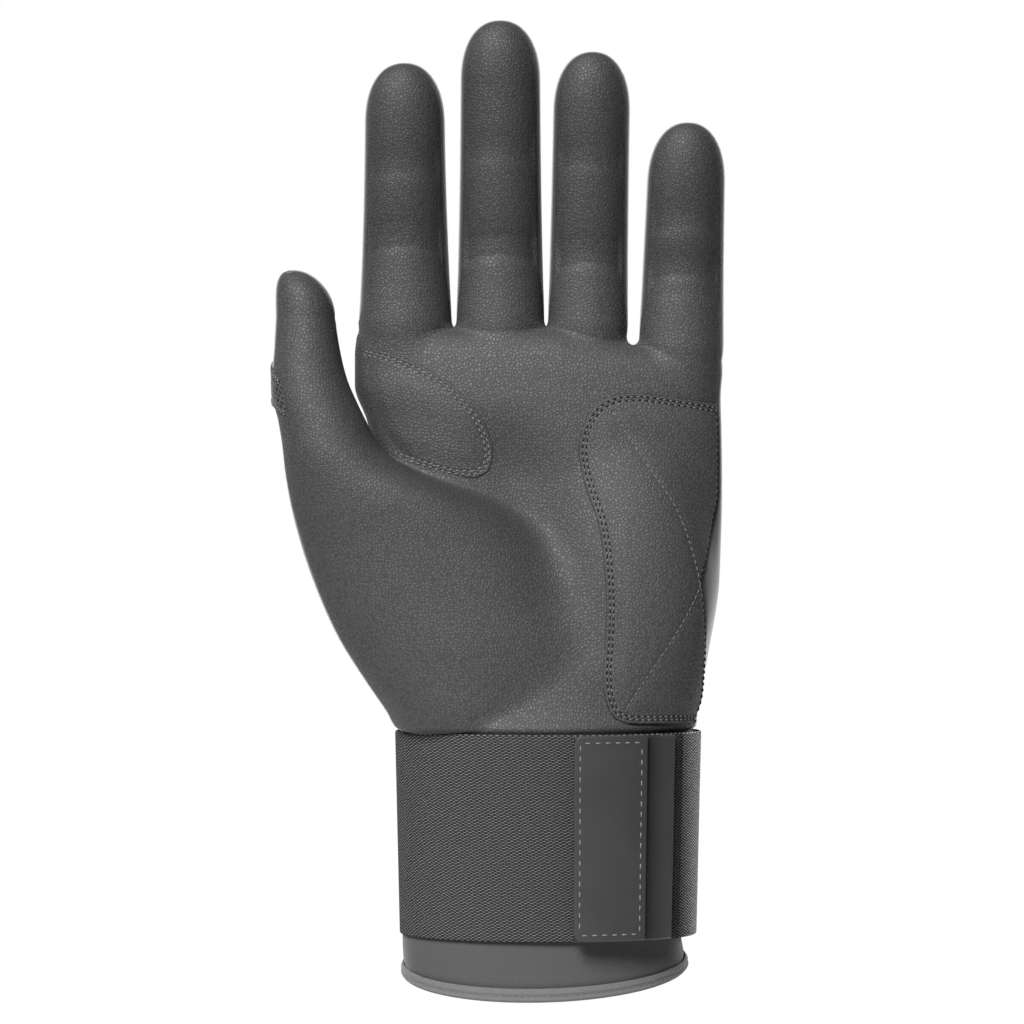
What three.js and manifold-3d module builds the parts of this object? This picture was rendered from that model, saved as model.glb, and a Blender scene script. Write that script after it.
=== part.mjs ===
// Left-hand batting glove with a long cuff, worn shape, palm towards -Y, fingers up +Z.
// Millimetres. The origin is the centre of the wrist opening, in the plane of the hem.

import * as THREE from 'three';
import ManifoldModule from 'manifold-3d';

const wasm = await ManifoldModule();
wasm.setup();

// Walls and clearances
const SEAM_GAP = 0.3;
const LEATHER_WALL = 1.2;
const PATCH_WALL = 0.9;
const SLEEVE_WALL = 2.4;
const ELASTIC_WALL = 1.4;
const HOOK_WALL = 1.4;
const CARRIER_WALL = 1.2;
const TAB_WALL = 1.2;
const BINDING_WALL = 0.9;

// Cuff, hem and strap
const CUFF_HALF_WIDTH = 39.6;
const CUFF_HALF_DEPTH = 26.9;
const HEM_TILT = 0.24;
const BINDING_HEIGHT = 2.8;
const STRAP_ABOVE_HEM = 0.6;
const STRAP_BOTTOM = HEM_TILT * (CUFF_HALF_DEPTH + SEAM_GAP + BINDING_WALL) + BINDING_HEIGHT + STRAP_ABOVE_HEM;
const STRAP_HEIGHT = 54.6;
const STRAP_TOP = STRAP_BOTTOM + STRAP_HEIGHT;
const PANEL_TUCK = 6.7;
const STRAP_START_ANGLE = -8;
const STRAP_FOLD_ANGLE = -28;
const STRAP_RAMP_START_ANGLE = -295;
const STRAP_RAMP_END_ANGLE = -345;
const STRAP_END_ANGLE = -42;
const TAB_LEFT_X = 7.7;
const TAB_RIGHT_X = 27.3;
const CARRIER_RIGHT_X = 34.2;
const HOOK_RIGHT_X = 25;
const HOOK_INSET = 1.5;
const TAB_CORNER = 5;
const TAB_END_INSET = 0.5;

// Joints: where the crease folds, how far, and the slack left at the fold
const FOLD_AXIS_DEPTH = 2.5;
const FOLD_MARGIN = 0.45;
const BASE_BEND_DEG = 70;
const MIDDLE_BEND_DEG = 80;
const THUMB_BEND_DEG = 60;

// Hand lofts. Heights are measured up from the wrist line at the top of the strap.
const PALM_STATIONS = [
  { up: -PANEL_TUCK, left: -CUFF_HALF_WIDTH, right: CUFF_HALF_WIDTH,
    front: CUFF_HALF_DEPTH, back: CUFF_HALF_DEPTH, power: 2 },
  { up: 0.4, left: -CUFF_HALF_WIDTH, right: CUFF_HALF_WIDTH,
    front: CUFF_HALF_DEPTH, back: CUFF_HALF_DEPTH, power: 2 },
  { up: 5, left: -41.5, right: 42, front: 25.8, back: 24.8, power: 2.1 },
  { up: 21, left: -41.5, right: 45.9, front: 22.5, back: 20, power: 2.3 },
  { up: 42, left: -43, right: 48.1, front: 19, back: 18, power: 2.4 },
  { up: 69, left: -46, right: 48.8, front: 16, back: 15.5, power: 2.5 },
  { up: 85, left: -49, right: 48.6, front: 15, back: 14.5, power: 2.5 },
  { up: 95, left: -52.6, right: 48.4, front: 14, back: 13.5, power: 2.5 },
  { up: 103, left: -52.4, right: 48.4, front: 12.5, back: 12, power: 2.5 },
  { up: 108, left: -51.5, right: 47.6, front: 9.5, back: 9.5, power: 2.5 },
  { up: 110.5, left: -49, right: 45, front: 5, back: 5, power: 2.5 },
];
const KNUCKLE_DROP = 11;
const KNUCKLE_DROP_FROM_X = 4;
const KNUCKLE_DROP_TO_X = 48;
const KNUCKLE_DROP_FROM_UP = 80;
const KNUCKLE_DROP_TO_UP = 110;
const PALM_TOP_ROUND_FROM = 100;

const THUMB_BASE_UP = 85.3;
const THUMB_TIP_UP = 125.9;
const THUMB_DOME = 13;
const THUMB_SEAM_Y = -14;
const THUMB_STATIONS = [
  { up: 1.2, left: -39.4, right: -4, y: -6, half: 19 },
  { up: 5.5, left: -43.5, right: -2.5, y: -7, half: 19 },
  { up: 13.8, left: -49.1, right: -1.5, y: -8.6, half: 18.6 },
  { up: 26.3, left: -56.8, right: -2.5, y: -10.6, half: 18.2 },
  { up: 38.6, left: -62.3, right: -6.5, y: -12, half: 18 },
  { up: 51, left: -67, right: -13.5, y: -13, half: 17.5 },
  { up: 63.3, left: -70.3, right: -25.5, y: -14, half: 17 },
  { up: 71.3, left: -71.7, right: -35.5, y: -14, half: 15.5 },
  { up: 78, left: -72.5, right: -43.5, y: -14, half: 14 },
  { up: THUMB_BASE_UP, left: -73.7, right: -48.2, y: -14, half: 12.5 },
  { up: 90.9, left: -75, right: -51.5, y: -14, half: 11.5 },
  { up: 96.4, left: -75.2, right: -54, y: -14, half: 10.5 },
  { up: 104.7, left: -74.7, right: -56, y: -14, half: 9.5 },
  { up: 112.9, left: -74.3, right: -57.3, y: -14, half: 8.8 },
];
const VENT_FROM_DEG = 25;
const VENT_TO_DEG = 205;

// Fingers: centre line x at base and tip, half widths, heights of base and tip, middle joint above base
const FINGERS = {
  index: { baseX: -38.5, tipX: -38.5, baseHalf: 12.8, tipHalf: 10.9, base: 112.8, tip: 183.4, joint: 31.8, taper: 2 },
  middle: { baseX: -12.3, tipX: -12.3, baseHalf: 12.1, tipHalf: 10.9, base: 112.8, tip: 195, joint: 37, taper: 2 },
  ring: { baseX: 11.8, tipX: 12.9, baseHalf: 11, tipHalf: 10.5, base: 112, tip: 186.7, joint: 33.7, taper: 2 },
  little: { baseX: 37.3, tipX: 38.8, baseHalf: 11.4, tipHalf: 10.3, base: 106.3, tip: 167.5, joint: 27.5, taper: 1.3 },
};
const FINGER_DEPTH_RATIO = 0.86;
const FINGER_DOME = 16.8;
const DOME_POWER = 2.3;
const STUB_DEPTH = 18;

// A finger at rest leans to the palm side: the slope grows over a stretch that starts this far above its base
const LEAN_FROM = 11;
const LEAN_RAMP = 14;
const LEAN_SLOPE = 0.14;

// Overlay outlines in x and up, seen from the palm side
const HEEL_PAD_TOP_UP = 91;
const HEEL_PAD_BOTTOM_UP = 2.8;
const HEEL_PAD_EDGE = [
  { handle: [12, HEEL_PAD_TOP_UP], to: [10.9, HEEL_PAD_TOP_UP - 11.4] },
  { handle: [11.6, 64], to: [15.8, 51] },
  { handle: [18, 35], to: [16.3, HEEL_PAD_BOTTOM_UP + 11.7] },
  { handle: [15.6, HEEL_PAD_BOTTOM_UP], to: [25.5, HEEL_PAD_BOTTOM_UP] },
];
const HEEL_PAD_TOP_CORNER_X = 28.3;
const HEEL_PAD_TOP_TILT = 1.5;
const OVERLAY_EDGE_X = 70;
const OVERLAY_REACH = 80;
const OVERLAY_FRONT_OF_SEAM = 1;
const CROTCH_PATCH_OUTLINE = [
  [-55.1, 106.4], [-40, 102.6], [-24.8, 94.2], [-16, 83.2], [-14.4, 74.4], [-19.4, 69],
  [-31.7, 71.2], [-45.6, 78.5], [-51, 91], [-56, 96],
];

// Mesh density
const PALM_POINTS = 40;
const THUMB_POINTS = 28;
const FINGER_HALF_POINTS = 8;
const CUFF_POINTS = 44;
const STRAP_STEP_DEG = 7;

// Materials
const matte = (color, roughness) => new THREE.MeshStandardMaterial({ color, roughness, metalness: 0 });
const LEATHER = matte(0x2b2b2d, 0.62);
const STRETCH = matte(0x232325, 0.85);
const ELASTIC = matte(0x303033, 0.8);
const NEOPRENE = matte(0x4a4a4d, 0.75);
const TAPE = matte(0x3a3a3d, 0.7);
const RUBBER = matte(0x55565a, 0.5);
const HOOK = matte(0x1c1c1e, 0.7);
const MESH_FABRIC = matte(0x27272a, 0.85);

const radians = THREE.MathUtils.degToRad;
const clamp01 = (value) => THREE.MathUtils.clamp(value, 0, 1);
const lerp = THREE.MathUtils.lerp;
const signedPower = (value, power) => Math.sign(value) * Math.abs(value) ** power;

// Triangles gathered by point, so that equal points are one vertex and thin triangles drop out
function closedGeometry(triangles) {
  const points = [];
  const numbers = new Map();
  const index = [];
  let volume = 0;
  const numberOf = (p) => {
    const key = p.toArray().map((value) => Math.round(value * 1e4)).join(' ');
    if (!numbers.has(key)) {
      numbers.set(key, points.length);
      points.push(p);
    }
    return numbers.get(key);
  };
  for (const corners of triangles) {
    const [a, b, c] = corners.map(numberOf);
    if (a === b || b === c || c === a) continue;
    index.push(a, b, c);
    volume += points[a].dot(points[b].clone().cross(points[c]));
  }
  if (volume < 0) index.reverse();
  const geometry = new THREE.BufferGeometry();
  geometry.setAttribute('position', new THREE.Float32BufferAttribute(points.flatMap((p) => p.toArray()), 3));
  geometry.setIndex(index);
  return geometry;
}

function quad(triangles, a, b, c, d) {
  triangles.push([a, b, c], [a, c, d]);
}

function solidFrom(geometry) {
  return new wasm.Manifold(new wasm.Mesh({
    numProp: 3,
    vertProperties: new Float32Array(geometry.attributes.position.array),
    triVerts: new Uint32Array(geometry.index.array),
  }));
}

function geometryFrom(solid) {
  const mesh = solid.getMesh();
  const geometry = new THREE.BufferGeometry();
  const positions = new Float32Array(mesh.numVert * 3);
  for (let i = 0; i < mesh.numVert; i += 1) {
    positions.set(mesh.vertProperties.subarray(i * mesh.numProp, i * mesh.numProp + 3), i * 3);
  }
  geometry.setAttribute('position', new THREE.BufferAttribute(positions, 3));
  geometry.setIndex(Array.from(mesh.triVerts));
  return geometry;
}

function piece(name, geometry, material) {
  geometry.computeVertexNormals();
  const mesh = new THREE.Mesh(geometry, material);
  mesh.name = name;
  return mesh;
}

// A solid through rings of equal length, closed by a fan at each end
function loft(rings) {
  const triangles = [];
  const count = rings[0].length;
  const middle = (ring) => ring.reduce((sum, p) => sum.add(p), new THREE.Vector3()).divideScalar(count);
  for (let k = 0; k < count; k += 1) {
    const next = (k + 1) % count;
    for (let j = 0; j + 1 < rings.length; j += 1) {
      quad(triangles, rings[j][k], rings[j][next], rings[j + 1][next], rings[j + 1][k]);
    }
  }
  const floor = rings[0];
  const roof = rings[rings.length - 1];
  const floorMiddle = middle(floor);
  const roofMiddle = middle(roof);
  for (let k = 0; k < count; k += 1) {
    const next = (k + 1) % count;
    triangles.push([floorMiddle, floor[next], floor[k]]);
    triangles.push([roofMiddle, roof[k], roof[next]]);
  }
  return solidFrom(closedGeometry(triangles));
}

// A sheet with thickness: outer and inner rows of points, with walls on the free edges
function sheet(outer, inner, closedAround = false) {
  const triangles = [];
  const rows = outer.length;
  const columns = outer[0].length;
  const spans = closedAround ? columns : columns - 1;
  for (let j = 0; j + 1 < rows; j += 1) {
    for (let k = 0; k < spans; k += 1) {
      const n = (k + 1) % columns;
      quad(triangles, outer[j][k], outer[j][n], outer[j + 1][n], outer[j + 1][k]);
      quad(triangles, inner[j][n], inner[j][k], inner[j + 1][k], inner[j + 1][n]);
    }
    if (!closedAround) {
      const last = columns - 1;
      quad(triangles, outer[j][0], outer[j + 1][0], inner[j + 1][0], inner[j][0]);
      quad(triangles, outer[j + 1][last], outer[j][last], inner[j][last], inner[j + 1][last]);
    }
  }
  const top = rows - 1;
  for (let k = 0; k < spans; k += 1) {
    const n = (k + 1) % columns;
    quad(triangles, outer[0][n], outer[0][k], inner[0][k], inner[0][n]);
    quad(triangles, outer[top][k], outer[top][n], inner[top][n], inner[top][k]);
  }
  return closedGeometry(triangles);
}

// Palm block: flattened sections that drop towards the little finger near the knuckles
function knuckleDrop(x, up) {
  const across = clamp01((x - KNUCKLE_DROP_FROM_X) / (KNUCKLE_DROP_TO_X - KNUCKLE_DROP_FROM_X));
  const along = clamp01((up - KNUCKLE_DROP_FROM_UP) / (KNUCKLE_DROP_TO_UP - KNUCKLE_DROP_FROM_UP));
  return KNUCKLE_DROP * across * along;
}

function palmRing(station, inset) {
  const ring = [];
  const middle = (station.left + station.right) / 2;
  const half = (station.right - station.left) / 2 - inset;
  const up = station.up > PALM_TOP_ROUND_FROM ? station.up - inset : station.up;
  for (let k = 0; k < PALM_POINTS; k += 1) {
    const angle = (2 * Math.PI * k) / PALM_POINTS;
    const across = signedPower(Math.cos(angle), 2 / station.power);
    const deep = signedPower(Math.sin(angle), 2 / station.power);
    const x = middle + half * across;
    const y = deep * ((deep < 0 ? station.front : station.back) - inset);
    ring.push(new THREE.Vector3(x, y, up - knuckleDrop(x, station.up)));
  }
  return ring;
}

function palmBlock(inset, through) {
  const rings = PALM_STATIONS.map((station) => palmRing(station, inset));
  if (through > 0) {
    const mouth = rings[0].map((p) => p.clone().setZ(p.z - through));
    rings.unshift(mouth);
  }
  return loft(rings);
}

// Thumb: section by height, taken between stations, with a domed tip
function thumbSection(up, inset) {
  const tip = THUMB_TIP_UP - inset;
  const domeFrom = THUMB_TIP_UP - THUMB_DOME;
  const at = Math.min(up, domeFrom);
  let j = 0;
  while (j + 2 < THUMB_STATIONS.length && THUMB_STATIONS[j + 1].up < at) j += 1;
  const low = THUMB_STATIONS[j];
  const high = THUMB_STATIONS[j + 1];
  const share = clamp01((at - low.up) / (high.up - low.up));
  const left = lerp(low.left, high.left, share);
  const right = lerp(low.right, high.right, share);
  const rise = clamp01((up - domeFrom) / (tip - domeFrom));
  const dome = (1 - rise ** DOME_POWER) ** (1 / DOME_POWER);
  return {
    x: (left + right) / 2,
    y: lerp(low.y, high.y, share),
    halfX: ((right - left) / 2 - inset) * dome,
    halfY: (lerp(low.half, high.half, share) - inset) * dome,
  };
}

function thumbBlock(inset, through) {
  const heights = THUMB_STATIONS.map((station) => station.up).filter((up) => up <= THUMB_BASE_UP);
  if (inset > 0) heights[0] += inset;
  if (through > 0) heights.push(THUMB_BASE_UP + through);
  return loft(heights.map((up) => fullRing(thumbSection(up, inset), up, THUMB_POINTS)));
}

function fullRing(section, up, count) {
  const ring = [];
  for (let k = 0; k < count; k += 1) {
    const angle = (2 * Math.PI * k) / count;
    const x = section.x + section.halfX * Math.cos(angle);
    const y = section.y + section.halfY * Math.sin(angle);
    ring.push(new THREE.Vector3(x, y, up));
  }
  return ring;
}

// How far a resting finger leans to the palm side at a height above its base
function fingerLean(height) {
  const share = clamp01((height - LEAN_FROM) / LEAN_RAMP);
  const bent = LEAN_RAMP * (share ** 3 - share ** 4 / 2);
  const beyond = Math.max(0, height - LEAN_FROM - LEAN_RAMP);
  return LEAN_SLOPE * (bent + beyond);
}

// Finger: section by height above its base, tapering to a domed tip
function fingerSection(finger, height, inset) {
  const length = finger.tip - finger.base;
  const domeFrom = length - FINGER_DOME;
  const share = clamp01(height / length);
  const rise = clamp01((height - domeFrom) / (FINGER_DOME - inset));
  const dome = (1 - rise ** DOME_POWER) ** (1 / DOME_POWER);
  const half = finger.tipHalf + (finger.baseHalf - finger.tipHalf) * (1 - share) ** finger.taper;
  return {
    x: lerp(finger.baseX, finger.tipX, share),
    y: -fingerLean(height),
    halfX: (half - inset) * dome,
    halfY: (half * FINGER_DEPTH_RATIO - inset) * dome,
  };
}

function fingerStub(finger, inset, through) {
  const section = fingerSection(finger, 0, inset);
  const heights = [finger.base - STUB_DEPTH, finger.base + through];
  return loft(heights.map((up) => fullRing(section, up, 2 * FINGER_HALF_POINTS)));
}

// The whole hand up to the finger and thumb bases; a negative inset grows it
function handBlock(inset, through) {
  let solid = palmBlock(inset, through).add(thumbBlock(inset, through));
  for (const finger of Object.values(FINGERS)) solid = solid.add(fingerStub(finger, inset, through));
  return solid;
}

// A prism over an outline in x and y, between two heights
function uprightPrism(outline, low, high) {
  const shape = new THREE.Shape(outline.map(([x, y]) => new THREE.Vector2(x, y)));
  const geometry = new THREE.ExtrudeGeometry(shape, { depth: high - low, bevelEnabled: false });
  geometry.translate(0, 0, low);
  return solidFrom(weld(geometry));
}

// A prism over an outline in x and up, standing in front of the hand
function frontPrism(shape, reach) {
  const geometry = new THREE.ExtrudeGeometry(shape, { depth: reach, bevelEnabled: false, curveSegments: 8 });
  geometry.rotateX(Math.PI / 2);
  geometry.translate(0, -OVERLAY_FRONT_OF_SEAM, 0);
  return solidFrom(weld(geometry));
}

function weld(geometry) {
  const position = geometry.attributes.position;
  const place = (i) => (geometry.index ? geometry.index.getX(i) : i);
  const corner = (i) => new THREE.Vector3().fromBufferAttribute(position, place(i));
  const count = geometry.index ? geometry.index.count : position.count;
  const triangles = [];
  for (let i = 0; i < count; i += 3) triangles.push([corner(i), corner(i + 1), corner(i + 2)]);
  return closedGeometry(triangles);
}

// Everything in front of the side seam, moved back by a shift; below the thumb base the seam follows the thumb
function frontOfSeam(shift, stepDrop) {
  const far = 150;
  const slabEdge = -49;
  const slabInside = -30;
  const step = THUMB_BASE_UP - stepDrop;
  const lower = [
    [-far, -far], [far, -far], [far, shift], [slabInside, shift], [slabEdge, THUMB_SEAM_Y + shift],
    [-far, THUMB_SEAM_Y + shift],
  ];
  const upper = [[-far, -far], [far, -far], [far, shift], [-far, shift]];
  return uprightPrism(lower, -far, step).add(uprightPrism(upper, step, 2 * far));
}

function handPieces() {
  const shell = handBlock(0, 0).subtract(handBlock(LEATHER_WALL, 2));
  const palm = shell.intersect(frontOfSeam(-SEAM_GAP / 2, 0));
  const back = shell.subtract(frontOfSeam(SEAM_GAP / 2, SEAM_GAP));
  const overlay = handBlock(-SEAM_GAP - PATCH_WALL, 0).subtract(handBlock(-SEAM_GAP, 2));

  const heel = new THREE.Shape();
  heel.moveTo(OVERLAY_EDGE_X, HEEL_PAD_TOP_UP - HEEL_PAD_TOP_TILT);
  heel.lineTo(HEEL_PAD_TOP_CORNER_X, HEEL_PAD_TOP_UP);
  for (const { handle, to } of HEEL_PAD_EDGE) heel.quadraticCurveTo(...handle, ...to);
  heel.lineTo(OVERLAY_EDGE_X, HEEL_PAD_BOTTOM_UP);
  heel.closePath();

  const crotch = new THREE.Shape(CROTCH_PATCH_OUTLINE.map(([x, up]) => new THREE.Vector2(x, up)));

  return [
    piece('palm_panel', geometryFrom(palm), LEATHER),
    piece('back_panel', geometryFrom(back), STRETCH),
    piece('heel_pad', geometryFrom(overlay.intersect(frontPrism(heel, OVERLAY_REACH))), LEATHER),
    piece('thumb_crotch_patch', geometryFrom(overlay.intersect(frontPrism(crotch, OVERLAY_REACH))), LEATHER),
  ];
}

// Half of a finger or thumb wall, on the palm side (side -1) or the back (side +1)
function halfRow(section, up, side) {
  const row = [];
  const seam = section.y + (side * SEAM_GAP) / 2;
  for (let k = 0; k <= FINGER_HALF_POINTS; k += 1) {
    const angle = side * Math.PI * (k / FINGER_HALF_POINTS);
    const x = section.x + section.halfX * Math.cos(angle);
    const deep = section.y + section.halfY * Math.sin(angle);
    const y = side < 0 ? Math.min(deep, seam) : Math.max(deep, seam);
    row.push(new THREE.Vector3(x, y, up));
  }
  return row;
}

function halfWall(sectionAt, stations, side, wall) {
  const outer = stations.map((s) => halfRow(sectionAt(s.outer, 0), s.outer, side));
  const inner = stations.map((s) => halfRow(sectionAt(s.inner, wall), s.inner, side));
  return sheet(outer, inner);
}

function ringWall(sectionAt, low, high, wall) {
  const heights = [low, (low + high) / 2, high];
  const count = 2 * FINGER_HALF_POINTS;
  const outer = heights.map((up) => fullRing(sectionAt(up, 0), up, count));
  const inner = heights.map((up) => fullRing(sectionAt(up, wall), up, count));
  return sheet(outer, inner, true);
}

// Part of a ring between two angles, with half a seam gap left at each edge
function arcWall(sectionAt, low, high, fromDeg, toDeg, wall) {
  const row = (section, up) => {
    const trim = SEAM_GAP / 2 / Math.min(section.halfX, section.halfY);
    const from = radians(fromDeg) + trim;
    const to = radians(toDeg) - trim;
    const points = [];
    for (let k = 0; k <= FINGER_HALF_POINTS; k += 1) {
      const angle = lerp(from, to, k / FINGER_HALF_POINTS);
      const x = section.x + section.halfX * Math.cos(angle);
      const y = section.y + section.halfY * Math.sin(angle);
      points.push(new THREE.Vector3(x, y, up));
    }
    return points;
  };
  const heights = [low, (low + high) / 2, high];
  const outer = heights.map((up) => row(sectionAt(up, 0), up));
  const inner = heights.map((up) => row(sectionAt(up, wall), up));
  return sheet(outer, inner);
}

function straightStations(low, high, count) {
  return Array.from({ length: count + 1 }, (_, j) => {
    const up = lerp(low, high, j / count);
    return { outer: up, inner: up };
  });
}

function domeStations(from, dome, wall) {
  return [0.35, 0.6, 0.8, 0.93, 1].map((share) => ({
    outer: from + share * dome,
    inner: from + share * (dome - wall),
  }));
}

// Length of finger that folds for a bend: the palm side, which may lean, closes up on both sides of the axis
function creaseLength(halfDepth, bendDeg, slope) {
  const closing = Math.tan(radians(bendDeg) / 2);
  return (2 * ((halfDepth - FOLD_AXIS_DEPTH) * closing + FOLD_MARGIN)) / (1 - slope * closing);
}

function fingerGroup(name, finger) {
  const group = new THREE.Group();
  group.position.z = finger.base;
  const sectionAt = (height, inset) => fingerSection(finger, height, inset);
  const length = finger.tip - finger.base;
  const baseCrease = creaseLength(sectionAt(0, 0).halfY, BASE_BEND_DEG, 0);
  const middleCrease = creaseLength(sectionAt(finger.joint, 0).halfY, MIDDLE_BEND_DEG, LEAN_SLOPE);
  const baseFrom = SEAM_GAP + baseCrease;
  const jointFrom = finger.joint - middleCrease / 2;
  const jointTo = finger.joint + middleCrease / 2;
  const domeFrom = length - FINGER_DOME;
  const baseStations = straightStations(baseFrom + SEAM_GAP, jointFrom - SEAM_GAP, 2);
  const tipStations = [
    ...straightStations(jointTo + SEAM_GAP, domeFrom, 2),
    ...domeStations(domeFrom, FINGER_DOME, LEATHER_WALL),
  ];
  group.add(
    piece(`${name}_base_crease`, ringWall(sectionAt, SEAM_GAP, baseFrom, LEATHER_WALL), LEATHER),
    piece(`${name}_base_front`, halfWall(sectionAt, baseStations, -1, LEATHER_WALL), LEATHER),
    piece(`${name}_base_back`, halfWall(sectionAt, baseStations, 1, LEATHER_WALL), STRETCH),
    piece(`${name}_middle_crease`, ringWall(sectionAt, jointFrom, jointTo, LEATHER_WALL), LEATHER),
    piece(`${name}_tip_front`, halfWall(sectionAt, tipStations, -1, LEATHER_WALL), LEATHER),
    piece(`${name}_tip_back`, halfWall(sectionAt, tipStations, 1, LEATHER_WALL), STRETCH),
  );
  return group;
}

function thumbPieces() {
  const creaseFrom = THUMB_BASE_UP + SEAM_GAP;
  const creaseTo = creaseFrom + creaseLength(thumbSection(THUMB_BASE_UP, 0).halfY, THUMB_BEND_DEG, 0);
  const domeFrom = THUMB_TIP_UP - THUMB_DOME;
  const stations = [
    ...straightStations(creaseTo + SEAM_GAP, domeFrom, 3),
    ...domeStations(domeFrom, THUMB_DOME, LEATHER_WALL),
  ];
  const flexWall = (fromDeg, toDeg) => arcWall(thumbSection, creaseFrom, creaseTo, fromDeg, toDeg, LEATHER_WALL);
  return [
    piece('thumb_crease', flexWall(VENT_TO_DEG - 360, VENT_FROM_DEG), LEATHER),
    piece('thumb_vent', flexWall(VENT_FROM_DEG, VENT_TO_DEG), MESH_FABRIC),
    piece('thumb_front', halfWall(thumbSection, stations, -1, LEATHER_WALL), LEATHER),
    piece('thumb_back', halfWall(thumbSection, stations, 1, LEATHER_WALL), STRETCH),
  ];
}

// A point on the cuff's ellipse, moved out along its normal
function cuffPoint(angleDeg, offset) {
  const angle = radians(angleDeg);
  const normal = new THREE.Vector2(Math.cos(angle) / CUFF_HALF_WIDTH, Math.sin(angle) / CUFF_HALF_DEPTH);
  normal.normalize();
  const x = CUFF_HALF_WIDTH * Math.cos(angle) + offset * normal.x;
  const y = CUFF_HALF_DEPTH * Math.sin(angle) + offset * normal.y;
  return { x, y };
}

function angleAtX(x, offset) {
  let low = -90;
  let high = 0;
  for (let i = 0; i < 40; i += 1) {
    const middle = (low + high) / 2;
    if (cuffPoint(middle, offset).x < x) low = middle;
    else high = middle;
  }
  return low;
}

// A ring round the cuff from a closed profile of offsets and heights above the tilted hem plane
function cuffRing(profile) {
  const triangles = [];
  const corner = (k, i) => {
    const step = profile[i % profile.length];
    const { x, y } = cuffPoint((360 * k) / CUFF_POINTS, step.offset);
    return new THREE.Vector3(x, y, step.level ? step.z : step.z + HEM_TILT * y);
  };
  for (let k = 0; k < CUFF_POINTS; k += 1) {
    const next = (k + 1) % CUFF_POINTS;
    for (let i = 0; i < profile.length; i += 1) {
      quad(triangles, corner(k, i), corner(next, i), corner(next, i + 1), corner(k, i + 1));
    }
  }
  return closedGeometry(triangles);
}

// A band on the cuff along given angles, with its own offset and its lower and upper edges
function band(angles, offsetAt, wall, lowAt, highAt) {
  const row = (heightAt, extra) => angles.map((angle, k) => {
    const { x, y } = cuffPoint(angle, offsetAt(angle) + extra);
    return new THREE.Vector3(x, y, heightAt(k));
  });
  const outer = [row(lowAt, wall), row(highAt, wall)];
  const inner = [row(lowAt, 0), row(highAt, 0)];
  return sheet(outer, inner);
}

function stepsBetween(from, to) {
  const count = Math.max(2, Math.ceil(Math.abs(to - from) / STRAP_STEP_DEG));
  return Array.from({ length: count + 1 }, (_, k) => lerp(from, to, k / count));
}

function cuffPieces() {
  const binding = BINDING_WALL;
  const sleeveFoot = binding + SEAM_GAP;
  const sleeveTop = STRAP_TOP - PANEL_TUCK - SEAM_GAP;
  const sleeve = cuffRing([
    { offset: -SLEEVE_WALL, z: sleeveFoot },
    { offset: 0, z: sleeveFoot },
    { offset: 0, z: sleeveTop, level: true },
    { offset: -SLEEVE_WALL, z: sleeveTop, level: true },
  ]);
  const bindingIn = -SLEEVE_WALL - SEAM_GAP;
  const hem = cuffRing([
    { offset: bindingIn - binding, z: 0 },
    { offset: SEAM_GAP + binding, z: 0 },
    { offset: SEAM_GAP + binding, z: BINDING_HEIGHT },
    { offset: SEAM_GAP, z: BINDING_HEIGHT },
    { offset: SEAM_GAP, z: binding },
    { offset: bindingIn, z: binding },
    { offset: bindingIn, z: BINDING_HEIGHT },
    { offset: bindingIn - binding, z: BINDING_HEIGHT },
  ]);
  return [piece('cuff_sleeve', sleeve, NEOPRENE), piece('cuff_binding', hem, TAPE)];
}

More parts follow.
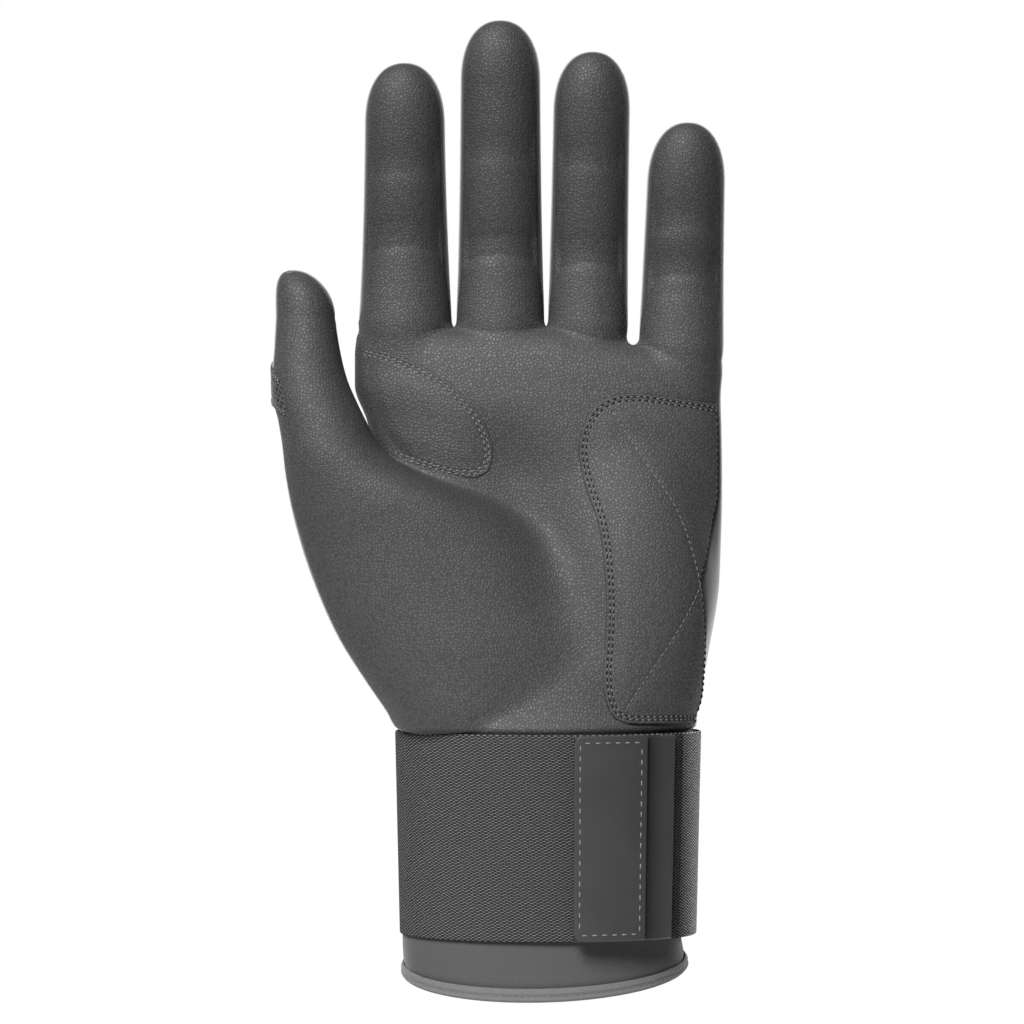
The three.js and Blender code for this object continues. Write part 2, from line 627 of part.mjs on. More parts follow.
function strapPieces() {
  const firstLayer = SEAM_GAP;
  const secondLayer = firstLayer + ELASTIC_WALL + SEAM_GAP;
  const carrierLayer = secondLayer + Math.max(ELASTIC_WALL, HOOK_WALL) + SEAM_GAP;
  const tabLayer = carrierLayer + CARRIER_WALL + SEAM_GAP;
  const low = () => STRAP_BOTTOM;
  const high = () => STRAP_TOP;
  const foldEnd = STRAP_FOLD_ANGLE - 360;
  const spiral = (angle) => {
    const out = clamp01((STRAP_RAMP_START_ANGLE - angle) / (STRAP_RAMP_START_ANGLE - STRAP_RAMP_END_ANGLE));
    return lerp(firstLayer, secondLayer, out);
  };
  const foldGapDeg = (SEAM_GAP / CUFF_HALF_WIDTH) * (180 / Math.PI) * 1.3;
  const endAngles = stepsBetween(STRAP_FOLD_ANGLE - foldGapDeg, STRAP_END_ANGLE);

  // The free edge of the carrier, tab and hook is on the left, with rounded corners on the tab
  const carrierAngles = stepsBetween(angleAtX(CARRIER_RIGHT_X, carrierLayer), angleAtX(TAB_LEFT_X, carrierLayer));
  const hookAngles = stepsBetween(angleAtX(HOOK_RIGHT_X, secondLayer), angleAtX(TAB_LEFT_X + HOOK_INSET, secondLayer));
  const cornerShares = [1, 0.62, 0.32, 0.12, 0];
  const tabXs = [TAB_RIGHT_X, lerp(TAB_LEFT_X, TAB_RIGHT_X, 0.65)];
  for (const share of cornerShares) tabXs.push(TAB_LEFT_X + share * TAB_CORNER);
  const tabAngles = tabXs.map((x) => angleAtX(x, tabLayer));
  const cornerRise = tabXs.map((x) => {
    const inside = Math.max(0, TAB_CORNER - (x - TAB_LEFT_X));
    return TAB_CORNER - Math.sqrt(TAB_CORNER ** 2 - inside ** 2);
  });
  const tabLow = (k) => STRAP_BOTTOM + TAB_END_INSET + cornerRise[k];
  const tabHigh = (k) => STRAP_TOP - TAB_END_INSET - cornerRise[k];
  const hookLow = () => STRAP_BOTTOM + HOOK_INSET;
  const hookHigh = () => STRAP_TOP - HOOK_INSET;
  const carrierLow = () => STRAP_BOTTOM + TAB_END_INSET / 2;
  const carrierHigh = () => STRAP_TOP - TAB_END_INSET / 2;

  return [
    piece('wrist_strap', band(stepsBetween(STRAP_START_ANGLE, foldEnd), spiral, ELASTIC_WALL, low, high), ELASTIC),
    piece('strap_outer_end', band(endAngles, () => secondLayer, ELASTIC_WALL, low, high), ELASTIC),
    piece('hook_patch', band(hookAngles, () => secondLayer, HOOK_WALL, hookLow, hookHigh), HOOK),
    piece('tab_carrier', band(carrierAngles, () => carrierLayer, CARRIER_WALL, carrierLow, carrierHigh), TAPE),
    piece('pull_tab', band(tabAngles, () => tabLayer, TAB_WALL, tabLow, tabHigh), RUBBER),
  ];
}

const glove = new THREE.Group();
glove.add(...cuffPieces(), ...strapPieces());
const hand = new THREE.Group();
hand.position.z = STRAP_TOP;
hand.add(...handPieces(), ...thumbPieces());
for (const [name, finger] of Object.entries(FINGERS)) hand.add(fingerGroup(name, finger));
glove.add(hand);

export default glove;
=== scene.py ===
"""Left-hand batting glove in its worn shape: leather and fabric skins, pads, seams, stitches, cuff and strap.

Every surface is worked out as whole arrays. Lengths are millimetres until a mesh is made, x runs to the
little-finger side, y to the back of the hand, and up is the height above the wrist line at the strap's top.
"""

from collections import namedtuple

import bpy
import numpy as np
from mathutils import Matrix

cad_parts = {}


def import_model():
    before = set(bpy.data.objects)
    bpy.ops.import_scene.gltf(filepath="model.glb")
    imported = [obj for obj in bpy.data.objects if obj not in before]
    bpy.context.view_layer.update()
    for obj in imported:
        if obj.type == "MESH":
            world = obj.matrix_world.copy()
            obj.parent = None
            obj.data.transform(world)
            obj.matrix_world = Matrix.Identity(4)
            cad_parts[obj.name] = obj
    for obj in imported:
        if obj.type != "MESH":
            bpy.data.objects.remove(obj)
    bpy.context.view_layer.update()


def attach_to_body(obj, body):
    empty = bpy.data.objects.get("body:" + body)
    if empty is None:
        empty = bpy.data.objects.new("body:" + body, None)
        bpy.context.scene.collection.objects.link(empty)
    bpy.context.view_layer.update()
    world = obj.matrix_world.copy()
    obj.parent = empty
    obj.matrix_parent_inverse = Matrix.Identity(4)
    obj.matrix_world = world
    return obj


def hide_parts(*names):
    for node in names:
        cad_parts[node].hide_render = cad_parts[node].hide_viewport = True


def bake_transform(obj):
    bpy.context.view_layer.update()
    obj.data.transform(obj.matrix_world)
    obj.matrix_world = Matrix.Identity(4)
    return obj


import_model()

# Sizes of the glove, as in the solids
MM = 0.001
WRIST_LINE = 64.744
CUFF_HALF_WIDTH = 39.6
CUFF_HALF_DEPTH = 26.9
HEM_TILT = 0.24
STRAP_BOTTOM = 8.9
STRAP_TOP = WRIST_LINE
SEAM_GAP = 0.3
ELASTIC_WALL = 1.4
SLEEVE_WALL = 2.4
PALM_TOP = 110.2
THUMB_BASE = 85.3
THUMB_TIP = 125.9
THUMB_DOME = 13.0
THUMB_TIP_BEND = -3.2
FINGER_DOME = 16.8
DOME_POWER = 2.3
DEPTH_RATIO = 0.86
SEAM_DEPTH = -4.0
THUMB_SEAM_DEPTH = -18.0
SEAM_RAMP = 16.0
SKIN_WALL = 1.0
EDGE_HOLD = 0.03
PATCH_WALL = 0.8
CROTCH_WALL = 0.3

# Middle line and half width at base and tip, heights of base, tip and joint, taper, length of base crease
Finger = namedtuple("Finger", "base_x tip_x base_half tip_half base tip joint taper crease")
FINGERS = {
    "index": Finger(-38.5, -38.5, 12.8, 10.9, 112.8, 182.8, 144.6, 2.0, 12.8),
    "middle": Finger(-12.3, -12.3, 12.1, 10.9, 112.8, 194.2, 149.8, 2.0, 12.0),
    "ring": Finger(11.8, 12.9, 11.0, 10.5, 112.0, 185.8, 145.7, 2.0, 10.6),
    "little": Finger(37.5, 39.0, 11.7, 10.5, 106.3, 166.7, 133.8, 1.3, 11.1),
}
MIDDLE_CREASE = 14.4
ROOT_SHRINK, ROOT_REACH = 0.6, 30.0
ROOT_SINK, ROOT_SINK_FROM, ROOT_SINK_RAMP = 20.0, 25.0, 15.0
LEAN_FROM = 11.0
LEAN_RAMP = 14.0
LEAN_SLOPE = 0.17
COLUMNS = ("thumb", "index", "middle", "ring", "little")


# Curves and small formulas


def smooth_curve(knots, values):
    """Monotone cubic through the knots: inner slopes are weighted harmonic means of those beside them."""
    knots = np.asarray(knots, float)
    values = np.asarray(values, float)
    step = np.diff(knots)
    slope = np.diff(values) / step
    tangent = np.zeros_like(values)
    tangent[0], tangent[-1] = slope[0], slope[-1]
    before, after = slope[:-1], slope[1:]
    near, far = 2 * step[1:] + step[:-1], step[1:] + 2 * step[:-1]
    same_way = before * after > 0
    safe_before = np.where(same_way, before, 1.0)
    safe_after = np.where(same_way, after, 1.0)
    tangent[1:-1] = np.where(same_way, (near + far) / (near / safe_before + far / safe_after), 0.0)

    def curve(t):
        t = np.clip(t, knots[0], knots[-1])
        i = np.clip(np.searchsorted(knots, t, side="right") - 1, 0, len(step) - 1)
        u = (t - knots[i]) / step[i]
        rise = values[i] * (1 + 2 * u) * (1 - u) ** 2 + values[i + 1] * u * u * (3 - 2 * u)
        lean = tangent[i] * u * (1 - u) ** 2 - tangent[i + 1] * u * u * (1 - u)
        return rise + step[i] * lean

    return curve


def smooth_step(t):
    """0 before 0, 1 after 1, and a cubic between."""
    t = np.clip(t, 0, 1)
    return t * t * (3 - 2 * t)


def bell(t, width):
    """A bump of height 1 that falls off as a normal curve of the given width."""
    return np.exp(-((t / width) ** 2))


def soft_min(a, b, reach):
    """The smaller of two fields, rounded where they differ by less than reach."""
    h = np.clip(0.5 + 0.5 * (b - a) / reach, 0, 1)
    return b + (a - b) * h - reach * h * (1 - h)


def oval_distance(dx, dy, half_x, half_y, power):
    """Signed distance to a rounded oval, to first order: (rho - 1) over the length of rho's gradient."""
    ax = np.abs(dx) / half_x
    ay = np.abs(dy) / half_y
    rho = np.maximum((ax**power + ay**power) ** (1 / power), 1e-4)
    slope = np.hypot(ax ** (power - 1) / half_x, ay ** (power - 1) / half_y) * rho ** (1 - power)
    return (rho - 1) / np.maximum(slope, 1e-3)


# The glove's form: ovals that change with height, rounded together

PALM_UP = (-6.7, -0.3, 1.2, 5, 21, 42, 69, 85, 95, 103, 108, 110.5)
palm_left = smooth_curve(
    PALM_UP, (-39.6, -39.6, -41.4, -41.6, -41.5, -43, -46, -49, -52.4, -52.4, -51.5, -49)
)
palm_right = smooth_curve(PALM_UP, (39.6, 39.6, 41.6, 42, 44.6, 48, 48.8, 48.6, 48.4, 48.4, 47.6, 45))
palm_front = smooth_curve(PALM_UP, (26.9, 26.9, 27.9, 26, 22.5, 19, 16, 15, 14, 12.5, 9.5, 5))
palm_back = smooth_curve(PALM_UP, (26.9, 26.9, 27.9, 25.2, 20, 18, 15.5, 14.5, 13.5, 12, 9.5, 5))
palm_power = smooth_curve(PALM_UP, (2, 2, 2, 2, 2, 2, 2.05, 2.2, 2.3, 2.4, 2.5, 2.5))

THUMB_UP = (-9, -0.3, 1.2, 5.5, 13.8, 26.3, 38.6, 51, 63.3, 71.3, 78, 85.3, 90.9, 96.4, 104.7, 112.9)
thumb_left = smooth_curve(
    THUMB_UP,
    (
        -34, -38.5, -41, -43.5, -49.1, -56.8, -62.3, -66.6,
        -69.6, -70.9, -71.6, -72.8, -74.1, -74.3, -73.8, -73.4,
    ),
)
thumb_right = smooth_curve(
    THUMB_UP, (-10, -5, -2, 0.5, 3, 4, 1.5, -5.5, -19.5, -36, -45, -49, -51.7, -54, -56, -57.3)
)
thumb_y = smooth_curve(
    THUMB_UP, (-3, -5, -6, -7, -8.6, -10.6, -12, -13, -14.5, -15, -15.5, -15.5, -15.3, -15, -14.5, -14)
)
thumb_half = smooth_curve(
    THUMB_UP, (12, 16.5, 18.8, 19, 18.2, 17.2, 16.3, 15.8, 15.2, 14.2, 13.2, 12, 11.2, 10.4, 9.5, 8.8)
)

# Drop of the knuckle line to the little finger: how far, and from where over what width and height
KNUCKLE_DROP = 11.0
DROP_FROM_X, DROP_WIDTH = 4.0, 44.0
DROP_FROM_UP, DROP_HEIGHT = 80.0, 30.0
# Hollow of the palm: where its line starts, how that slants, and its reach in height
HOLLOW_TOP_X = -9.0
HOLLOW_TOP_UP = 74.0
HOLLOW_SLANT = 0.3
HOLLOW_DEPTH = 4.5
HOLLOW_WIDTH = 13.0
HOLLOW_LOW, HOLLOW_LOW_RAMP = 14.0, 26.0
HOLLOW_HIGH, HOLLOW_HIGH_RAMP = 92.0, 24.0
MOUND_CENTRE = (24.0, -9.0, 38.0)
MOUND_HALF = (19.0, 12.5, 36.0)
# How softly the parts run into each other
MOUND_ROUNDING = 9.0
WRIST_ROUNDING, BALL_ROUNDING, THUMB_ROUNDING = 1.5, 14.0, 2.8
FINGER_ROUNDING = 3.0
BALL_TOP = 28.0
THUMB_ROUNDING_FROM, THUMB_ROUNDING_RAMP = 54.0, 22.0
HOLLOW_FACE = 8.0


def palm_field(x, y, up):
    """The flat palm block with its hollow; near the knuckles it drops to the little finger."""
    across = np.clip((x - DROP_FROM_X) / DROP_WIDTH, 0, 1)
    along = np.clip((up - DROP_FROM_UP) / DROP_HEIGHT, 0, 1)
    level = up + KNUCKLE_DROP * across * along
    left, right = palm_left(level), palm_right(level)
    depth = np.where(y < 0, palm_front(level), palm_back(level))
    side = oval_distance(x - (left + right) / 2, y, (right - left) / 2, depth, palm_power(level))
    hollow = HOLLOW_DEPTH * bell(x - HOLLOW_TOP_X - (HOLLOW_TOP_UP - up) * HOLLOW_SLANT, HOLLOW_WIDTH)
    hollow = hollow * smooth_step((up - HOLLOW_LOW) / HOLLOW_LOW_RAMP)
    hollow = hollow * smooth_step((HOLLOW_HIGH - up) / HOLLOW_HIGH_RAMP) * smooth_step(-y / HOLLOW_FACE)
    return np.maximum(side + hollow, level - PALM_TOP)


def mound_field(x, y, up):
    """The heel of the palm on the little-finger side: distance to an ellipsoid, to first order."""
    shares = [(v - centre) / half for v, centre, half in zip((x, y, up), MOUND_CENTRE, MOUND_HALF)]
    rho = np.sqrt(sum(share**2 for share in shares)) + 1e-4
    slope = np.sqrt(sum((share / half) ** 2 for share, half in zip(shares, MOUND_HALF)) + 1e-8)
    return (rho - 1) * rho / slope


def dome(rise):
    """How wide a domed tip still is at a share of its height."""
    return np.maximum((1 - np.clip(rise, 0, 1) ** DOME_POWER), 1e-6) ** (1 / DOME_POWER)


def thumb_bend(up):
    """How far the domed end of the thumb leans outwards, growing with the square of the height."""
    return THUMB_TIP_BEND * np.clip((up - THUMB_TIP + THUMB_DOME) / THUMB_DOME, 0, 1) ** 2


def thumb_field(x, y, up):
    """The thumb and the ball of the thumb."""
    level = np.minimum(up, THUMB_TIP - THUMB_DOME)
    width = dome((up - THUMB_TIP + THUMB_DOME) / THUMB_DOME)
    left, right = thumb_left(level), thumb_right(level)
    half_x = (right - left) / 2 * width
    axis = (left + right) / 2 + thumb_bend(up)
    return oval_distance(x - axis, y - thumb_y(level), half_x, thumb_half(level) * width, 2.0)


def finger_axis(name, up):
    """The finger's middle line in x at a height."""
    finger = FINGERS[name]
    share = np.clip((up - finger.base) / (finger.tip - finger.base), 0, 1)
    return finger.base_x + (finger.tip_x - finger.base_x) * share


def finger_lean(name, up):
    """How far a resting finger leans to the palm side: the slope grows over a stretch above its base."""
    height = up - FINGERS[name].base - LEAN_FROM
    share = np.clip(height / LEAN_RAMP, 0, 1)
    return LEAN_SLOPE * (LEAN_RAMP * (share**3 - share**4 / 2) + np.maximum(height - LEAN_RAMP, 0))


def finger_field(name, x, y, up):
    """A finger that tapers from its root inside the palm to a domed tip."""
    finger = FINGERS[name]
    share = np.clip((up - finger.base) / (finger.tip - finger.base), 0, 1)
    root = 1 - ROOT_SHRINK * smooth_step((finger.base - up) / ROOT_REACH)
    half = (finger.tip_half + (finger.base_half - finger.tip_half) * (1 - share) ** finger.taper) * root
    half = half * dome((up - finger.tip + FINGER_DOME) / FINGER_DOME)
    sunk = ROOT_SINK * smooth_step((finger.base - up - ROOT_SINK_FROM) / ROOT_SINK_RAMP)
    forward = y + finger_lean(name, up)
    return oval_distance(x - finger_axis(name, up), forward, half, half * DEPTH_RATIO, 2.0) + sunk


def glove_field(x, y, up):
    """Negative inside the glove: palm, heel and thumb rounded together, then the fingers with small webs."""
    palm = soft_min(palm_field(x, y, up), mound_field(x, y, up), MOUND_ROUNDING)
    rounding = WRIST_ROUNDING + (BALL_ROUNDING - WRIST_ROUNDING) * smooth_step(up / BALL_TOP)
    loose = smooth_step((up - THUMB_ROUNDING_FROM) / THUMB_ROUNDING_RAMP)
    rounding = rounding + (THUMB_ROUNDING - BALL_ROUNDING) * loose
    hand = soft_min(palm, thumb_field(x, y, up), rounding)
    fingers = np.minimum.reduce([finger_field(name, x, y, up) for name in FINGERS])
    return soft_min(hand, fingers, FINGER_ROUNDING)


NORMAL_STEP = 0.05


def glove_normal(points):
    """Outward normal of the glove: the gradient of its field by small steps."""
    x, y, up = points[..., 0], points[..., 1], points[..., 2]
    h = NORMAL_STEP
    gradient = np.stack(
        [
            glove_field(x + h, y, up) - glove_field(x - h, y, up),
            glove_field(x, y + h, up) - glove_field(x, y - h, up),
            glove_field(x, y, up + h) - glove_field(x, y, up - h),
        ],
        axis=-1,
    )
    return gradient / np.maximum(np.linalg.norm(gradient, axis=-1, keepdims=True), 1e-9)


FREE_REACH = 70.0
HALVINGS = 26


def march_out(x, y, angle, up, reach=FREE_REACH):
    """Where each level ray from inside leaves the glove: the stretch that holds the skin is halved."""
    shape = np.broadcast(x, y, angle, up).shape
    low = np.zeros(shape)
    high = np.broadcast_to(reach, shape).copy()
    for _ in range(HALVINGS):
        middle = (low + high) / 2
        inside = glove_field(x + middle * np.cos(angle), y + middle * np.sin(angle), up) < 0
        low = np.where(inside, middle, low)
        high = np.where(inside, high, middle)
    return np.stack([x + low * np.cos(angle), y + low * np.sin(angle), np.broadcast_to(up, shape)], axis=-1)


# Columns: the thumb and each finger, from the wrist to its tip, with shared lines between them below the webs

centre_curves = {
    "thumb": smooth_curve(
        (-7, 0, 30, 60, 79, 85.3, 90.9, 96.4, 104.7, 112.9, 126),
        (-30, -30, -41, -53, -58.4, -60.95, -63.2, -64.6, -65.35, -65.8, -65.8),
    ),
    "index": smooth_curve((-7, 0, 30, 60, 79, 112.8), (-14.5, -14.5, -20, -28.5, -35, -38.5)),
    "middle": smooth_curve((-7, 60, 112.8), (-1.5, -7.5, -12.3)),
    "ring": smooth_curve((-7, 60, 112), (15, 14, 11.8)),
    "little": smooth_curve((-7, 30, 60, 106.3), (31, 34, 36.5, 37.3)),
}
thumb_centre_y = smooth_curve((-7, 0, 13, 30, 60, 126), (-4, -5, -8, -11, -14, -14))
thumb_outer_seam = smooth_curve((-7, 0, 30, 60, 85, 126), (-8, -9, -14, -17, -17, -17))


def straight_ahead(up):
    """The direction to the palm side, in degrees, at every height."""
    return np.full_like(up, -90.0)


# Cut between neighbouring columns: x and y of a point on it, and the way it runs to the palm side, in degrees
WEB_UP = (-7, 0, 30, 60, 70, 76, 79, 85, 91, 96.4, 105, 126)
WEBS = (
    (
        smooth_curve(WEB_UP, (-21, -20, -28, -37, -41.2, -45.75, -47.1, -49.6, -52.2, -53.9, -55, -56.5)),
        smooth_curve(WEB_UP, (0, 0, -2.5, -5, -6.2, -6.3, -6.9, -7.5, -6.7, -6.7, -6, -6)),
        smooth_curve(WEB_UP, (-90, -90, -86, -68, -55, -50.5, -52, -55, -52, -52, -50, -50)),
    ),
    (smooth_curve((-7, 60, 112), (-9, -18, -25.0)), np.zeros_like, straight_ahead),
    (smooth_curve((-7, 60, 111), (6, 3, 0.3)), np.zeros_like, straight_ahead),
    (smooth_curve((-7, 60, 105), (24, 25, 24.4)), np.zeros_like, straight_ahead),
)
# Heights between which each cut leaves the glove
CROTCH_BETWEEN = ((55, 105), (95, 120), (95, 120), (90, 118))


def web_cut(number, up):
    """A point on the cut between two columns at each height, and its way to the palm side in radians."""
    line_x, line_y, turn = WEBS[number]
    return line_x(up), line_y(up), np.radians(turn(up))


def web_of(name, side):
    """Number of the cut on one side of a column, or None on the hand's two outer sides."""
    number = COLUMNS.index(name) - (side < 0)
    return number if 0 <= number < len(WEBS) else None


def column_centre(name, up):
    """The point from which a column's skin is seen, at each height."""
    if name == "thumb":
        return centre_curves[name](up) + thumb_bend(up), thumb_centre_y(up)
    x = np.where(up > FINGERS[name].base, finger_axis(name, up), centre_curves[name](up))
    return x, -finger_lean(name, up)


def ray_reach(name, x, y, angle, up):
    """How far a column's rays may go: to the cuts on its two sides and a little further."""
    reach = np.full(np.broadcast(x, y, angle, up).shape, FREE_REACH)
    for side in (-1, 1):
        web = web_of(name, side)
        if web is not None:
            line_x, line_y, turn = web_cut(web, up)
            across_x, across_y = -np.sin(turn), np.cos(turn)
            gap = ((line_x - x) * across_x + (line_y - y) * across_y) * side
            speed = (np.cos(angle) * across_x + np.sin(angle) * across_y) * side
            limit = np.maximum(gap, 0.5) / np.maximum(speed, 1e-3) + 0.3
            reach = np.where(speed > 1e-3, np.minimum(reach, limit), reach)
    return reach


def web_middle(number, up):
    """The deepest point of the glove along a cut, and how deep it is."""
    line_x, line_y, turn = web_cut(number, up)
    s = np.linspace(-20, 26, 185)[None, :]
    x = line_x[:, None] + s * np.cos(turn)[:, None]
    y = line_y[:, None] + s * np.sin(turn)[:, None]
    depth = glove_field(x, y, up[:, None])
    best = np.argmin(depth, axis=1)
    row = np.arange(len(up))
    return x[row, best], y[row, best], depth[row, best]


def find_crotch(number, low, high):
    """Height and place of the saddle between two columns: where the cut first leaves the glove."""
    up = np.linspace(low, high, 1200)
    x, y, depth = web_middle(number, up)
    first = int(np.argmax(depth > 0))
    share = depth[first - 1] / (depth[first - 1] - depth[first])
    return up[first - 1] + share * (up[first] - up[first - 1]), y[first - 1]


crotches = [find_crotch(number, *between) for number, between in enumerate(CROTCH_BETWEEN)]


def front_point(x, up):
    """Where a line along y meets the palm side: it starts at the deepest of some points inside."""
    y = np.linspace(-25, 8, 34)
    depth = glove_field(x[..., None], y, up[..., None])
    start = y[np.argmin(depth, axis=-1)]
    return march_out(x, start, np.full(x.shape, -np.pi / 2), up)


# Side seam on the heel of the hand: its x at some heights, as seen from the palm side
ULNAR_UP = np.array([-7, 1.7, 8, 17.4, 26.9, 33.2, 41, 48.4, 56, 66.0])
ULNAR_X = np.array([39.0, 40.8, 42.1, 43.0, 43.4, 43.2, 42.5, 44.0, 45.5, 47.4])
ulnar_seam = smooth_curve(
    np.append(ULNAR_UP, [82, 90]), np.append(front_point(ULNAR_X, ULNAR_UP)[:, 1], [SEAM_DEPTH, SEAM_DEPTH])
)
WEB_WRAP, WEB_WRAP_RAMP = 6.0, 9.0
INDEX_SEAM_FROM, INDEX_SEAM_RAMP = 104.0, 14.0
thumb_inner_seam = smooth_curve(
    (crotches[0][0], 94, 106, 119, 126), (crotches[0][1], -9, -9, THUMB_SEAM_DEPTH, THUMB_SEAM_DEPTH)
)


def seam_depth(name, side, up):
    """The y of the side seam: it leaves the web's saddle and moves towards the palm side as it climbs."""
    if name == "thumb":
        return thumb_outer_seam(up) if side < 0 else thumb_inner_seam(up)
    target = SEAM_DEPTH - finger_lean(name, up)
    if name == "little" and side > 0:
        return ulnar_seam(up) + target - SEAM_DEPTH
    crotch_up, crotch_y = crotches[web_of(name, side)]
    if name == "index" and side < 0:
        wrapped = crotch_y + (WEB_WRAP - crotch_y) * smooth_step((up - crotch_up) / WEB_WRAP_RAMP)
        return wrapped + (target - WEB_WRAP) * smooth_step((up - INDEX_SEAM_FROM) / INDEX_SEAM_RAMP)
    return crotch_y + (target - crotch_y) * smooth_step((up - crotch_up) / SEAM_RAMP)


def column_edges(name, side, up):
    """Edges of a column's two panels on one side: the side seam where free, the cut's ends where joined."""
    x, _ = column_centre(name, up)
    seam = seam_depth(name, side, up)
    out = np.full_like(up, 0.0 if side > 0 else np.pi)
    free = march_out(x, seam, out, up, ray_reach(name, x, seam, out, up))
    front, back = free.copy(), free.copy()
    web = web_of(name, side)
    if web is not None:
        joined = up < crotches[web][0] - 1e-6
        middle_x, middle_y, _ = web_middle(web, up)
        _, _, turn = web_cut(web, up)
        ahead = march_out(middle_x, middle_y, turn, up, 45.0)
        behind = march_out(middle_x, middle_y, turn + np.pi, up, 45.0)
        front[joined] = ahead[joined]
        back[joined] = behind[joined]
    return front, back


def seam_distance(name, points, normals):
    """Distance over the skin to the nearest side seam, from the gap in y and the slope of the skin there."""
    up = points[:, :, 2]
    flat = up.ravel()
    centre, _ = column_centre(name, flat)
    centre = centre.reshape(up.shape)
    across = np.sqrt(np.maximum(1 - normals[:, :, 1] ** 2, 0.04))
    result = np.full(up.shape, 50.0)
    for side in (-1, 1):
        web = web_of(name, side)
        seam = seam_depth(name, side, flat).reshape(up.shape)
        gap = np.abs(points[:, :, 1] - seam) / across
        if web is not None:
            gap = np.hypot(gap, np.maximum(crotches[web][0] - up, 0))
        mine = (points[:, :, 0] - centre) * side >= 0
        result = np.where(mine, np.minimum(result, gap), result)
    return result


def held(places, inset):
    """Places along a row with one more just inside each end, so that shading runs straight up to the edge."""
    return np.concatenate([places[:1], [places[0] + inset], places[1:-1], [places[-1] - inset], places[-1:]])


def column_skin(name, up, face, count):
    """Grid over one column: rays from its middle, turned evenly from one edge of the panel to the other."""
    x, y = column_centre(name, up)
    left_front, left_back = column_edges(name, -1, up)
    right_front, right_back = column_edges(name, 1, up)
    start, end = (left_front, right_front) if face == "front" else (right_back, left_back)
    first, last = (np.arctan2(edge[:, 1] - y, edge[:, 0] - x) for edge in (start, end))
    if face == "front":
        first = np.where(first > np.pi / 2, first - 2 * np.pi, first)
    else:
        last = np.where(last < np.pi / 4, last + 2 * np.pi, last)
    closing = front_gone(name, up)
    first = np.where(closing, -np.pi / 2, first)
    last = np.where(closing, -np.pi / 2 if face == "front" else 1.5 * np.pi, last)
    turn = held(np.linspace(0, 1, count), 0.002)[None, :]
    angles = first[:, None] * (1 - turn) + last[:, None] * turn
    reach = ray_reach(name, x[:, None], y[:, None], angles, up[:, None])
    grid = march_out(x[:, None], y[:, None], angles, up[:, None], reach)
    grid[~closing, 0] = start[~closing]
    grid[~closing, -1] = end[~closing]
    return grid


def front_end(name):
    """Height at which the palm-side panel of a tip runs out: its seam crosses the middle of the dome."""
    tip = THUMB_TIP if name == "thumb" else FINGERS[name].tip
    up = np.linspace(tip - 12, tip - 0.01, 4000)
    x, _ = column_centre(name, up)
    inside = glove_field(x, seam_depth(name, 1, up), up) < 0
    return up[int(np.argmin(inside)) - 1]


front_ends = {name: front_end(name) for name in COLUMNS}


def front_gone(name, up):
    """True above the end of the palm-side panel."""
    return up >= front_ends[name] - 1e-9


# Relief on the skins

# height, depth, half width of the fold, how far its ends droop, depth of the wide hollow above it
FOLDS = {
    "index": ((132.6, 0.18, 1.0, 2.2, 0.8), (152.8, 0.08, 1.0, 1.6, 0.6), (139.0, 0.08, 1.2, 1.6, 0.2)),
    "middle": ((130.2, 0.26, 0.9, 2.0, 0.9), (135.6, 0.1, 1.0, 1.4, 0.2), (157.0, 0.07, 1.0, 1.6, 0.6)),
    "ring": ((128.2, 0.24, 0.9, 2.2, 0.9), (134.8, 0.1, 1.0, 1.6, 0.2), (155.0, 0.1, 1.0, 1.6, 0.6)),
    "little": ((125.0, 0.2, 0.9, 2.2, 0.8), (120.0, 0.08, 1.0, 1.6, 0.2), (138.0, 0.12, 1.0, 1.6, 0.6)),
    "thumb": (),
}


def front_relief(name, points):
    """Leather folds across the fingers: narrow valleys, each at the foot of a wide hollow."""
    up, x = points[..., 2], points[..., 0]
    relief = np.zeros(up.shape)
    for height, depth, width, droop, hollow in FOLDS[name]:
        aside = (x - finger_axis(name, up)) / FINGERS[name].base_half
        t = up - height + droop * aside**2
        relief -= depth * bell(t, width) + hollow * bell(t - 2.5, 5.0)
        relief += 0.5 * depth * bell(t + 2.6 * width, 2.2 * width)
    return relief


RIB_PITCH = 3.2
RIB_HEIGHT = 0.5
RIB_REACH = 8.0
RIB_WIDTH = 0.74
PANEL_RISE, PANEL_EDGE = 0.3, 1.2
PANEL_TOP, PANEL_FADE = 98.0, 4.0
SEAM_GROOVE, SEAM_GROOVE_WIDTH = 0.3, 0.7
CROSS_SEAM_UP, CROSS_SEAM_ARCH, CROSS_SEAM_HALF = 85.0, 6.0, 25.0
SEAM_DIP, SEAM_SWELL, SEAM_PUCKER = 0.1, 0.05, 0.12
SEAM_CLEAR = 2.5
KNUCKLES = {"index": 97.0, "middle": 100.0, "ring": 97.0, "little": 90.0}
BACK_SEAM_UP = (-2, 12, 45, 75, 96)
back_seam_left = smooth_curve(BACK_SEAM_UP, (-15, -16.5, -21, -25, -25.8))
back_seam_right = smooth_curve(BACK_SEAM_UP, (16, 17, 20.5, 23.3, 24.3))


def back_cross_seam(x):
    """Height of the seam across the back, an arch below the knuckles."""
    return CROSS_SEAM_UP - CROSS_SEAM_ARCH * (x / CROSS_SEAM_HALF) ** 2


def ribs(rise, aside, half):
    """Rounded ribs one above another, which end at a distance above, below and to the sides."""
    wave = (0.5 + 0.5 * np.cos(2 * np.pi * rise / RIB_PITCH)) ** 1.4
    fade = smooth_step((RIB_REACH - np.abs(rise)) / 2.4) * smooth_step((half - np.abs(aside)) / 2)
    return RIB_HEIGHT * wave * fade


